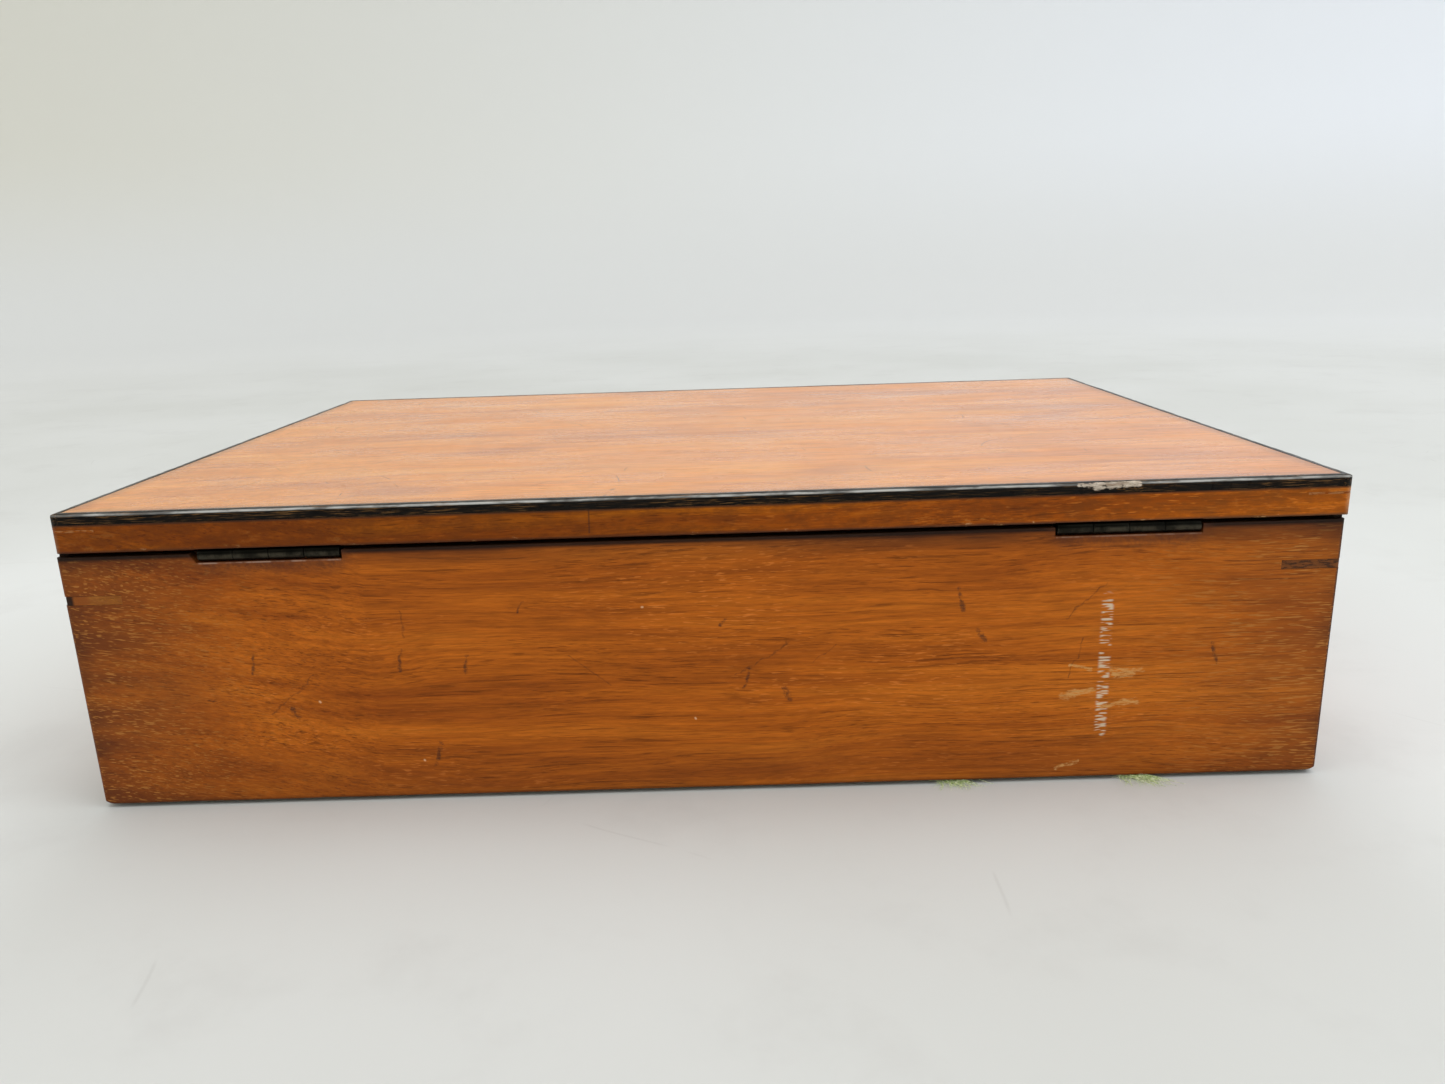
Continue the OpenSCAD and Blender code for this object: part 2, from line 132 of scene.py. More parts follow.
def board(name, side, corners, thick, z0, z1, top_r, bottom_r, step, seed,
          corner_r=CORNER_R, round_top=0.0, round_bottom=0.0, dent=None):
    """One board of a mitred frame, worn by hand.

    corners are the frame's lowest and highest corner, and corner_r the radius of its upright corners. top_r and
    bottom_r are the outer arrises' radii, which vary along the board. round_top and round_bottom are the radii of
    the frame's worn outer corners. dent(along, z) is the depth of the marks on the outer face."""
    lo, hi = corners
    turn = math.radians(90 * SIDES.index(side))
    middle = (lo + hi) / 2
    half_x, half_y = (hi.x - lo.x) / 2, (hi.y - lo.y) / 2
    half, out = (half_x, half_y) if side in ("back", "front") else (half_y, half_x)
    t = Vector((math.cos(turn), math.sin(turn)))
    n = Vector((-math.sin(turn), math.cos(turn)))
    mitre_d = corner_r * (1 - math.sqrt(0.5))

    verts = []
    for at in stations(half, step):
        x, y = middle.x + t.x * at + n.x * out, middle.y + t.y * at + n.y * out
        r_top = top_r * (1 + 0.35 * hum(x, y, z1, 17 * MM, seed) + 0.2 * hum(x, y, z1, 3 * MM, seed))
        r_bottom = bottom_r * (1 + 0.35 * hum(x, y, z0, 17 * MM, seed) + 0.2 * hum(x, y, z0, 3 * MM, seed))
        for d, z in section(thick, z0, z1, r_top, r_bottom, step):
            along = at / half * (half - max(d, mitre_d))
            past = max(0.0, abs(along) - (half - corner_r))
            depth = max(d, corner_r - math.sqrt(max(0.0, corner_r ** 2 - past ** 2)))
            for radius, top in ((round_top, True), (round_bottom, False)):
                if radius:
                    reach = max(0.0, abs(along) - (half - radius)) * max(0.0, 1 - d / radius)
                    lift = radius - math.sqrt(max(0.0, radius ** 2 - reach ** 2))
                    room = min(4 * radius, z1 - z0)
                    gap = z1 - z if top else z - z0
                    if gap < room:
                        gap = lift + gap * (1 - lift / room)
                    z = z1 - gap if top else z0 + gap
            if d < 0.6 * top_r + 0.2 * MM:
                depth += 0.04 * MM * (1 + hum(x, y, z, 22 * MM, seed + 3))
                if dent:
                    depth += dent(along, z)
            verts.append((middle.x + t.x * along + n.x * (out - depth),
                          middle.y + t.y * along + n.y * (out - depth), z))
    per = len(section(thick, z0, z1, top_r, bottom_r, step))
    rows = len(verts) // per
    faces = [(i * per + j, i * per + (j + 1) % per, (i + 1) * per + (j + 1) % per, (i + 1) * per + j)
             for i in range(rows - 1) for j in range(per)]
    faces += [tuple(range(per)), tuple(range((rows - 1) * per, rows * per))]
    return add_mesh(name, verts, faces)


def block(name, lo, hi):
    """A plain box, used only to cut others."""
    corners = [(x, y, z) for x in (lo[0], hi[0]) for y in (lo[1], hi[1]) for z in (lo[2], hi[2])]
    faces = [(0, 1, 3, 2), (4, 6, 7, 5), (0, 4, 5, 1), (2, 3, 7, 6), (0, 2, 6, 4), (1, 5, 7, 3)]
    return add_mesh(name, corners, faces)


def prism(name, outline, z0, z1):
    """An upright prism on an outline of (x, y) points."""
    n = len(outline)
    verts = [(x, y, z) for z in (z0, z1) for x, y in outline]
    faces = [(i, (i + 1) % n, n + (i + 1) % n, n + i) for i in range(n)]
    faces += [tuple(range(n)), tuple(range(n, 2 * n))]
    return add_mesh(name, verts, faces)


def bake_modifiers(obj, sharp=40):
    """Turns what the modifiers make into the object's own mesh."""
    graph = bpy.context.evaluated_depsgraph_get()
    graph.update()
    mesh = bpy.data.meshes.new_from_object(obj.evaluated_get(graph))
    mesh.materials.clear()
    for face in mesh.polygons:
        face.material_index = 0
    obj.modifiers.clear()
    obj.data = mesh
    mesh.shade_smooth()
    mesh.set_sharp_from_angle(angle=math.radians(sharp))


def carve(obj, cutters):
    """Cuts the cutters out of obj, and removes them."""
    for cutter in cutters:
        m = obj.modifiers.new("cut", "BOOLEAN")
        m.operation = "DIFFERENCE"
        m.solver = "MANIFOLD"
        m.object = cutter
    bake_modifiers(obj)
    for cutter in cutters:
        bpy.data.objects.remove(cutter)


def soften(obj, width, segments=3, angle=30):
    """Rounds the edges of a CAD node, whose own mesh stays as it is."""
    weld = obj.modifiers.new("weld", "WELD")
    weld.merge_threshold = 0.001 * MM
    bevel = obj.modifiers.new("bevel", "BEVEL")
    bevel.width = width
    bevel.segments = segments
    bevel.limit_method = "ANGLE"
    bevel.angle_limit = math.radians(angle)
    bevel.harden_normals = False


# ---------------------------------------------------------------- material nodes

class Look:
    """A material, and short ways to add nodes to it. Lengths inside a material are in millimetres.

    A node is made after the nodes that feed it. In another order a large material outgrows the renderer."""

    def __init__(self, name):
        self.material = bpy.data.materials.new(name)
        self.material.use_nodes = True
        self.tree = self.material.node_tree
        self.tree.nodes.clear()
        self.out = self.node("ShaderNodeOutputMaterial")
        self.shader = self.node("ShaderNodeBsdfPrincipled")
        self.link(self.shader.outputs["BSDF"], self.out.inputs["Surface"])
        coords = self.node("ShaderNodeTexCoord").outputs["Object"]
        self.p = self.vector("MULTIPLY", coords, (1 / MM,) * 3)
        split = self.node("ShaderNodeSeparateXYZ")
        self.link(self.p, split.inputs[0])
        self.x, self.y, self.z = split.outputs

    def upright(self):
        """1 on a face that stands upright, and 0 on one that lies level."""
        normal = self.node("ShaderNodeTexCoord").outputs["Normal"]
        split = self.node("ShaderNodeSeparateXYZ")
        self.link(normal, split.inputs[0])
        return self.fit(self.math("ABSOLUTE", split.outputs["Z"]), 0.45, 0.85, 1.0, 0.0)

    def node(self, kind):
        return self.tree.nodes.new(kind)

    def link(self, source, socket):
        self.tree.links.new(source, socket)

    def put(self, value, socket):
        if isinstance(value, bpy.types.NodeSocket):
            self.link(value, socket)
        elif value is not None:
            socket.default_value = value

    def math(self, op, a, b=None, c=None, clamp=False):
        n = self.node("ShaderNodeMath")
        n.operation = op
        n.use_clamp = clamp
        for value, socket in zip((a, b, c), n.inputs):
            self.put(value, socket)
        return n.outputs[0]

    def vector(self, op, a, b=None):
        n = self.node("ShaderNodeVectorMath")
        n.operation = op
        self.put(a, n.inputs[0])
        self.put(b, n.inputs[1])
        return n.outputs["Value" if op in ("LENGTH", "DOT_PRODUCT", "DISTANCE") else "Vector"]

    def combine(self, x, y, z):
        n = self.node("ShaderNodeCombineXYZ")
        for value, socket in zip((x, y, z), n.inputs):
            self.put(value, socket)
        return n.outputs[0]

    def noise(self, where, size, detail=3.0, rough=0.5, twist=0.0, shift=0.0):
        """Noise from 0 to 1. size is (x, y, z) of its bumps in millimetres, or one number."""
        if not hasattr(size, "__len__"):
            size = (size,) * 3
        scaled = self.vector("MULTIPLY", where, tuple(1 / s for s in size))
        moved = self.vector("ADD", scaled, (shift, 1.7 * shift, -shift))
        n = self.node("ShaderNodeTexNoise")
        self.link(moved, n.inputs["Vector"])
        n.inputs["Scale"].default_value = 1.0
        n.inputs["Detail"].default_value = detail
        n.inputs["Roughness"].default_value = rough
        n.inputs["Distortion"].default_value = twist
        return n.outputs["Fac"]

    def fit(self, value, start, end, low=0.0, high=1.0, smooth=True):
        """value, moved from start..end to low..high and kept inside it."""
        n = self.node("ShaderNodeMapRange")
        n.interpolation_type = "SMOOTHSTEP" if smooth else "LINEAR"
        n.clamp = True
        self.put(value, n.inputs["Value"])
        for v, key in zip((start, end, low, high), ("From Min", "From Max", "To Min", "To Max")):
            n.inputs[key].default_value = v
        return n.outputs["Result"]

    def mix(self, amount, a, b, mode="MIX"):
        n = self.node("ShaderNodeMix")
        n.data_type = "RGBA"
        n.blend_type = mode
        self.put(amount, n.inputs["Factor"])
        for value, socket in ((a, n.inputs[6]), (b, n.inputs[7])):
            if isinstance(value, tuple):
                value = value + (1.0,) if len(value) == 3 else value
            self.put(value, socket)
        return n.outputs[2]

    def ramp(self, value, stops):
        n = self.node("ShaderNodeValToRGB")
        while len(n.color_ramp.elements) < len(stops):
            n.color_ramp.elements.new(0.5)
        for element, (place, colour) in zip(n.color_ramp.elements, stops):
            element.position = place
            element.color = colour + (1.0,)
        self.link(value, n.inputs[0])
        return n.outputs[0]

    def times(self, *values):
        result = values[0]
        for v in values[1:]:
            result = self.math("MULTIPLY", result, v)
        return result

    def most(self, *values):
        result = values[0]
        for v in values[1:]:
            result = self.math("MAXIMUM", result, v)
        return result

    def near_end(self, coordinate, lo, hi, width):
        """1 at lo and at hi, falling to 0 at width millimetres inside them."""
        gap = self.math("MINIMUM", self.math("SUBTRACT", coordinate, lo), self.math("SUBTRACT", hi, coordinate))
        return self.fit(gap, 0.0, width, 1.0, 0.0)

    def board_end(self, lo, hi, width):
        """The same for the two ends of a board, along its grain."""
        return self.near_end(self.along, lo[self.axis], hi[self.axis], width)

    def stroke(self, where, a, b, width, soft=0.6):
        """1 on the line from a to b, 0 at width millimetres from it."""
        n = self.node("ShaderNodeGroup")
        n.node_tree = stroke_group()
        self.link(where, n.inputs["Point"])
        n.inputs["A"].default_value = a
        n.inputs["B"].default_value = b
        n.inputs["Inner"].default_value = width * (1 - soft)
        n.inputs["Outer"].default_value = width
        return n.outputs["Mask"]

    def finish(self, colour, rough, height=None, depth=0.1, metal=0.0, strength=1.0):
        """Sets the shader. height is the bump, and depth how many millimetres its 0 to 1 stands for."""
        self.put(colour, self.shader.inputs["Base Color"])
        self.put(rough, self.shader.inputs["Roughness"])
        self.shader.inputs["Metallic"].default_value = metal
        if height is not None:
            bump = self.node("ShaderNodeBump")
            bump.inputs["Strength"].default_value = strength
            bump.inputs["Distance"].default_value = depth * MM
            self.link(height, bump.inputs["Height"])
            self.link(bump.outputs[0], self.shader.inputs["Normal"])
        return self.material


def stroke_group():
    """A node group that gives a soft line between two points."""
    name = "stroke"
    if name in bpy.data.node_groups:
        return bpy.data.node_groups[name]
    g = bpy.data.node_groups.new(name, "ShaderNodeTree")
    for label, kind in (("Point", "Vector"), ("A", "Vector"), ("B", "Vector"), ("Inner", "Float"), ("Outer", "Float")):
        g.interface.new_socket(label, in_out="INPUT", socket_type="NodeSocket" + kind)
    g.interface.new_socket("Mask", in_out="OUTPUT", socket_type="NodeSocketFloat")
    entry, leave = g.nodes.new("NodeGroupInput"), g.nodes.new("NodeGroupOutput")

    def vec(op, a, b, out="Vector"):
        n = g.nodes.new("ShaderNodeVectorMath")
        n.operation = op
        g.links.new(a, n.inputs[0])
        if b is not None:
            g.links.new(b, n.inputs["Scale"] if op == "SCALE" else n.inputs[1])
        return n.outputs[out]

    run = vec("SUBTRACT", entry.outputs["B"], entry.outputs["A"])
    rise = vec("SUBTRACT", entry.outputs["Point"], entry.outputs["A"])
    part, whole = vec("DOT_PRODUCT", rise, run, "Value"), vec("DOT_PRODUCT", run, run, "Value")
    share = g.nodes.new("ShaderNodeMath")
    share.operation = "DIVIDE"
    share.use_clamp = True
    g.links.new(part, share.inputs[0])
    g.links.new(whole, share.inputs[1])
    gap = vec("LENGTH", vec("SUBTRACT", rise, vec("SCALE", run, share.outputs[0])), None, "Value")
    fit = g.nodes.new("ShaderNodeMapRange")
    fit.interpolation_type = "SMOOTHSTEP"
    g.links.new(gap, fit.inputs["Value"])
    g.links.new(entry.outputs["Inner"], fit.inputs["From Min"])
    g.links.new(entry.outputs["Outer"], fit.inputs["From Max"])
    fit.inputs["To Min"].default_value = 1.0
    fit.inputs["To Max"].default_value = 0.0
    g.links.new(fit.outputs["Result"], leave.inputs["Mask"])
    return g


# ---------------------------------------------------------------- materials

def wood(name, grain, tones, seed, pores=0.5, flecks=0.5, rough=0.42, shine=0.1, lines=0.5, extra=None, depth=0.06):
    """Polished open-grained wood. grain is the axis that it runs along, tones are dark, middle and light.

    pores, lines and flecks are the strengths of its short pores, long dark lines and pale flecks.
    extra(look, colour, rough, height) may add marks and dirt, and returns the three again."""
    look = Look(name)
    dark, middle, light = tones
    a, b = (look.x, look.y) if grain == "X" else (look.y, look.x)
    flat = look.combine(a, b, look.z)
    bend = look.math("MULTIPLY_ADD", look.noise(flat, (130, 40, 40), 2, shift=seed), 12.0, -6.0)
    tilt = look.math("MULTIPLY", look.math("MAXIMUM", look.math("SUBTRACT", a, 90.0), 0.0), -0.15)
    shift = look.math("ADD", bend, tilt)
    g = look.combine(a, look.math("ADD", b, shift), look.math("ADD", look.z, shift))

    figure = look.noise(g, (170, 5.0, 5.0), 4, 0.6, shift=seed + 1)
    cloud = look.noise(g, (90, 26, 26), 2, 0.5, shift=seed + 2)
    fibre = look.noise(g, (24, 0.8, 0.8), 4, 0.68, shift=seed + 3)
    fine = look.noise(g, (5, 0.3, 0.3), 2, 0.6, shift=seed + 4)
    pore = look.fit(look.noise(g, (6, 0.36, 0.36), 2, 0.6, shift=seed + 5), 0.56, 0.68)
    patch = look.fit(look.noise(g, (45, 7, 7), 2, shift=seed + 6), 0.40, 0.62)
    pore = look.times(pore, look.math("MULTIPLY_ADD", patch, 0.7, 0.3))
    line = look.fit(look.noise(g, (26, 0.62, 0.62), 3, 0.55, shift=seed + 10), 0.565, 0.66)
    line = look.times(line, look.fit(look.noise(g, (70, 6, 6), 2, shift=seed + 11), 0.36, 0.60))
    fleck = look.fit(look.noise(g, (3.6, 0.42, 0.42), 1, 0.5, shift=seed + 7), 0.60, 0.70)
    fleck = look.times(fleck, look.fit(look.noise(g, (45, 22, 22), 2, shift=seed + 8), 0.46, 0.66, 0.08, 1.0))

    tone = look.math("ADD", look.math("MULTIPLY", figure, 0.66), look.math("MULTIPLY", cloud, 0.34))
    colour = look.ramp(tone, [(0.32, dark), (0.50, middle), (0.68, light)])
    shade = look.math("ADD", look.fit(fibre, 0.30, 0.70, -0.26, 0.22, False), look.fit(fine, 0.3, 0.7, -0.14, 0.12, False))
    colour = look.mix(1.0, colour, look.combine(*(look.math("ADD", shade, 1.0),) * 3), "MULTIPLY")
    deep = tuple(0.30 * c for c in dark)
    pale = tuple(min(1.0, 1.25 * c + 0.02) for c in light)
    colour = look.mix(look.math("MULTIPLY", line, lines), colour, deep)
    colour = look.mix(look.math("MULTIPLY", pore, pores), colour, deep)
    colour = look.mix(look.math("MULTIPLY", fleck, flecks), colour, pale)

    gloss = look.math("ADD", look.fit(look.noise(flat, 31, 3, shift=seed + 9), 0.3, 0.7, rough - 0.05, rough + 0.07, False),
                      look.math("MULTIPLY", pore, 0.2))
    height = look.math("SUBTRACT", look.math("MULTIPLY", fibre, 0.35), look.math("MULTIPLY", look.most(pore, line), 0.8))
    look.g = g
    look.along = a
    look.axis = "XY".index(grain)
    if extra:
        colour, gloss, height = extra(look, colour, gloss, height)
    look.shader.inputs["Specular IOR Level"].default_value = shine
    return look.finish(colour, gloss, height, depth)


MAHOGANY = ((0.28, 0.062, 0.005), (0.47, 0.116, 0.008), (0.59, 0.165, 0.013))
# The lid top's paler mahogany, partly its own tone and partly its polish's sheen painted in.
LID_MAHOGANY_AND_SHEEN = ((0.55, 0.162, 0.016), (0.715, 0.245, 0.026), (0.80, 0.318, 0.044))
MAHOGANY_EDGE = ((0.22, 0.040, 0.001), (0.42, 0.090, 0.002), (0.62, 0.165, 0.003))
DIRT = (0.060, 0.022, 0.009)
RED_BROWN = (0.125, 0.032, 0.009)
OCHRE = (0.50, 0.20, 0.040)
BARE_WOOD = (0.62, 0.36, 0.16)
OFF_WHITE = (0.72, 0.60, 0.44)


def mm(v):
    return tuple(c / MM for c in v)


def wall_dirt_and_shade(look, colour, rough, height, lo, hi, strength=1.0):
    """Grime towards the ends and the foot of a face, painted shade along its rim under the lid and on its upright
    corner at -X, and a darker bottom edge. Near the ends the grime leaves pale flecks bare.
    """
    cloud = look.noise(look.p, (40, 40, 9), 3, 0.6, shift=4)
    broken = look.fit(cloud, 0.3, 0.7, 0.5, 1.0)
    ends = look.board_end(lo, hi, 56.0)
    heavy = look.fit(look.x, 60.0, 150.0, 0.72, 1.15)
    colour = look.mix(look.times(ends, broken, heavy, 0.78 * strength), colour, RED_BROWN)
    close = look.board_end(lo, hi, 7.0)
    colour = look.mix(look.times(close, broken, 0.45 * strength), colour, DIRT)
    # Painted shade: the upright corner at -X, by the back face, is made nearly black.
    corner_shade = look.times(look.fit(look.x, lo[0] + 0.5, lo[0] + 1.5, 1.0, 0.0), look.fit(look.y, hi[1] - 1.5, hi[1] - 0.3))
    colour = look.mix(look.math("MULTIPLY", corner_shade, 0.85), colour, (0.018, 0.010, 0.008))
    foot = look.fit(look.z, lo[2], lo[2] + 21, 1.0, 0.0)
    colour = look.mix(look.times(foot, broken, 0.50 * strength), colour, RED_BROWN)
    bare = look.fit(look.noise(look.g, (4.6, 0.36, 0.36), 1, 0.5, shift=21), 0.57, 0.67)
    wide = look.board_end(lo, hi, 80.0)
    bare = look.times(bare, look.fit(look.noise(look.g, (26, 9, 9), 2, shift=22), 0.34, 0.54, 0.4, 1.0), wide)
    colour = look.mix(look.math("MULTIPLY", bare, 0.72), colour, OCHRE)
    # Painted shade under the lid: a mottled dark band below the rim, stronger towards -X, and a near-black band along
    # its top.
    upright = look.most(look.upright(), look.fit(look.y, hi[1] - 7, hi[1] - 3))
    rim = look.times(look.fit(look.z, hi[2] - 7.5, hi[2] - 1.0), upright)
    side = look.fit(look.x, -150.0, 20.0, 0.92, 0.62)
    colour = look.mix(look.times(rim, broken, side), colour, (0.040, 0.016, 0.008))
    rim_gap_shade = look.times(look.fit(look.z, hi[2] - 1.7, hi[2] - 0.45, 0.0, 0.93), upright)
    colour = look.mix(rim_gap_shade, colour, (0.010, 0.006, 0.004))
    edge = look.fit(look.z, lo[2] + 0.1, lo[2] + 1.1, 1.0, 0.0)
    colour = look.mix(look.math("MULTIPLY", edge, 0.7), colour, DIRT)
    rough = look.math("ADD", rough, look.math("MULTIPLY", look.most(foot, rim), 0.12))
    return colour, rough, height


def torn(look, mask, rip, low, high):
    """A soft mask, broken up and given a ragged edge by a noise."""
    return look.fit(look.math("ADD", mask, look.math("MULTIPLY_ADD", rip, 4.0, -2.0)), low, high)


def strokes(look, where, lines, width, soft):
    """Soft lines on the back wall's face, as ((x, z), (x, z)) or ((x, z), (x, z), width)."""
    mask = None
    for (x0, z0), (x1, z1), *own in lines:
        line = look.stroke(where, face_point(x0, z0), face_point(x1, z1), own[0] if own else width, soft)
        mask = line if mask is None else look.most(mask, line)
    return mask


def face_point(x, z):
    """A place on the back wall's outer face, in a material's millimetres."""
    return (x, WALLS[1].y / MM, z)


def strewn(seed, count, across, up, run, rise, width):
    """Marks strewn over the back wall by a seeded draw, as ((x, z), (x, z), half width) in millimetres.

    Each pair holds the lowest and the highest value of a draw: the place across and up, how far the mark runs and
    rises from there, and its half width.
    """
    rng = np.random.default_rng(seed)
    marks = []
    for _ in range(count):
        x, z, dx, dz, half = (float(rng.uniform(*ends)) for ends in (across, up, run, rise, width))
        marks.append(((x, z), (x + dx, z + dz), half))
    return marks


# The white scuff stands upright on the back wall. The bare patches lie round it, and the other marks anywhere.
SCUFF_X = -110
SCUFF_STEP = 10
SCRATCHES = strewn(11, 8, (-140, 140), (25, 60), (-18, 18), (-12, 12), (0.3, 0.5))
SMUDGES = strewn(12, 12, (-140, 140), (16, 60), (-2, 2), (-7, -2), (0.7, 1.8))
PATCHES = strewn(13, 7, (SCUFF_X - 8, SCUFF_X + 12), (3, 40), (-8, -5), (-2, 2), (0.9, 2.0))
PAINT = [((SCUFF_X, up), (SCUFF_X, up + SCUFF_STEP - 1), 2.4) for up in range(15, 55, SCUFF_STEP)]
NICKS = strewn(14, 4, (-160, 160), (8, 70), (-0.5, 0.5), (-0.3, 0.3), (0.4, 0.5))


def back_marks(look, colour, rough, height):
    """The back wall's own scratches, knocks and paint scuff."""
    colour, rough, height = wall_dirt_and_shade(look, colour, rough, height, mm(WALLS[0]), (*mm(WALLS[1])[:2], RIM_Z / MM))
    wander = look.math("MULTIPLY_ADD", look.noise(look.p, 6, 3, 0.6, shift=9), 3.0, -1.5)
    shaken = look.combine(look.math("ADD", look.x, wander), look.y, look.math("ADD", look.z, wander))
    ragged = look.fit(look.noise(look.p, 1.3, 3, 0.7, shift=2), 0.40, 0.60)

    fine = look.times(strokes(look, shaken, SCRATCHES, 0.5, 0.9), look.math("MULTIPLY_ADD", ragged, 0.5, 0.3))
    colour = look.mix(look.math("MULTIPLY", fine, 0.70), colour, DIRT)

    rip = look.noise(look.p, (1.5, 1.5, 1.1), 4, 0.7, shift=7)
    dark = strokes(look, shaken, SMUDGES, 1.0, 1.0)
    dark = look.times(torn(look, dark, rip, 0.15, 1.5), look.fit(dark, 0.0, 0.5))
    colour = look.mix(look.math("MULTIPLY", dark, 0.80), colour, (0.070, 0.026, 0.012))

    bare = strokes(look, shaken, PATCHES, 1.5, 1.0)
    thread = look.noise(look.g, (2.4, 0.6, 0.6), 4, 0.7, shift=25)
    bare = look.times(torn(look, bare, thread, 0.28, 1.35), look.fit(bare, 0.0, 0.6))
    colour = look.mix(look.math("MULTIPLY", bare, 0.75), colour, (0.66, 0.36, 0.12))

    paint = strokes(look, look.p, PAINT, 3.0, 1.0)
    dash = look.noise(look.p, (4.5, 4.5, 0.62), 1, 0.4, shift=5)
    paint = look.times(look.fit(dash, 0.50, 0.62), look.fit(paint, 0.05, 0.60))
    colour = look.mix(look.math("MULTIPLY", paint, 0.80), colour, OFF_WHITE)
    rough = look.math("ADD", rough, look.math("MULTIPLY", paint, 0.3))

    dots = strokes(look, look.p, NICKS, 0.5, 0.9)
    colour = look.mix(look.math("MULTIPLY", dots, 0.75), colour, (0.80, 0.52, 0.28))

    for lo_h, hi_h in HINGES:
        left, right, foot = lo_h.x / MM, hi_h.x / MM, lo_h.z / MM
        stain = look.stroke(shaken, face_point(left + 3, foot + 1), face_point(right - 3, foot + 1), 7.5, 1.0)
        colour = look.mix(look.times(stain, look.fit(ragged, 0, 1, 0.55, 0.9)), colour, (0.105, 0.032, 0.013))
        line = look.stroke(look.p, face_point(left, foot - 0.42), face_point(right, foot - 0.42), 0.34, 0.8)
        strong = 0.75 if left > 0 else 0.35
        line = look.times(line, look.fit(look.noise(look.p, 5, 3, 0.7, shift=13), 0.42, 0.58, 0.1, strong))
        colour = look.mix(line, colour, (0.42, 0.27, 0.20))
    return colour, rough, height


def plain_marks(seed, lo, hi, along):
    """Grime, painted shade at the rim and at a corner, and a few light scratches for a wall whose wear is nobody's in
    particular.
    """
    def marks(look, colour, rough, height):
        colour, rough, height = wall_dirt_and_shade(look, colour, rough, height, lo, hi)
        here = look.combine(look.x if along == "X" else look.y, look.z, 0.0)
        for i in range(5):
            angle, turn = 0.5 + 1.3 * i + seed, look.noise(here, 30, 1, shift=seed + i)
            across = look.math("ADD", look.math("MULTIPLY", look.x if along == "X" else look.y, math.sin(angle)),
                               look.math("MULTIPLY", look.z, math.cos(angle)))
            line = look.fit(look.math("ABSOLUTE", look.math("SUBTRACT", look.math("MODULO", look.math(
                "ADD", across, look.math("MULTIPLY", turn, 30.0)), 47.0 + 9 * i), 20.0)), 0.0, 0.35, 1.0, 0.0)
            line = look.times(line, look.fit(look.noise(here, 17, 2, shift=2 * seed + i), 0.56, 0.62), 0.5)
            colour = look.mix(line, colour, DIRT)
        return colour, rough, height
    return marks


def bead_look():
    """Black polish on a hardwood bead, rubbed through to brown streaks, with one pale chip at the back and a painted
    highlight along its upper arris.
    """
    look = Look("ebonised_bead")
    y0, y1, x0, x1 = BEADS[0].y / MM, BEADS[1].y / MM, BEADS[0].x / MM, BEADS[1].x / MM
    on_end = look.math("GREATER_THAN", look.near_end(look.x, x0, x1, 3.2), 0.01)
    streak_x = look.noise(look.p, (7, 0.30, 0.30), 4, 0.65, shift=1)
    streak_y = look.noise(look.p, (0.30, 7, 0.30), 4, 0.65, shift=1)
    streak = look.math("ADD", look.times(streak_y, on_end), look.times(streak_x, look.math("SUBTRACT", 1.0, on_end)))
    rubbed = look.fit(look.noise(look.p, (24, 24, 8), 3, shift=6), 0.40, 0.60)
    colour = look.ramp(streak, [(0.44, (0.003, 0.0025, 0.002)), (0.54, (0.012, 0.007, 0.004)), (0.64, (0.16, 0.080, 0.026))])
    colour = look.mix(look.math("MULTIPLY_ADD", rubbed, -0.75, 0.75), colour, (0.006, 0.005, 0.004))
    top = BEADS[1].z / MM
    # Painted highlight: a pale line along the bead's upper arris.
    on_arris = look.times(look.fit(look.z, top - 0.85, top - 0.55), look.fit(look.z, top - 0.32, top - 0.15, 1.0, 0.12))
    painted_highlight = look.times(on_arris, look.fit(look.noise(look.p, (16, 16, 3), 4, 0.65, shift=8), 0.40, 0.60, 0.25, 1.0))
    colour = look.mix(look.math("MULTIPLY", painted_highlight, 0.68), colour, (0.60, 0.595, 0.56))
    jag = look.noise(look.p, (1.6, 1.6, 0.7), 4, 0.75, shift=3)
    lift = look.math("MULTIPLY_ADD", jag, 2.4, -1.2)
    torn_at = look.combine(look.x, look.y, look.math("ADD", look.z, lift))
    chip_line = look.most(look.stroke(torn_at, (-100.5, y1 - 0.5, top - 0.7), (-106, y1 - 0.5, top - 0.9), 0.75, 0.3),
                          look.stroke(torn_at, (-105, y1 - 0.5, top - 0.9), (-116, y1 - 0.5, top - 0.5), 1.15, 0.3))
    torn = look.times(chip_line, look.fit(jag, 0.36, 0.50))
    colour = look.mix(torn, colour, look.ramp(streak, [(0.35, (0.22, 0.15, 0.10)), (0.60, (0.62, 0.53, 0.43))]))
    rough = look.fit(look.noise(look.p, 3, 3), 0.3, 0.7, 0.24, 0.38, False)
    rough = look.math("ADD", rough, look.math("MULTIPLY", torn, 0.4))
    height = look.math("ADD", streak, look.math("MULTIPLY", look.noise(look.p, 1.3, 3), 0.8))
    look.shader.inputs["Specular IOR Level"].default_value = 0.08
    return look.finish(colour, rough, height, 0.07)


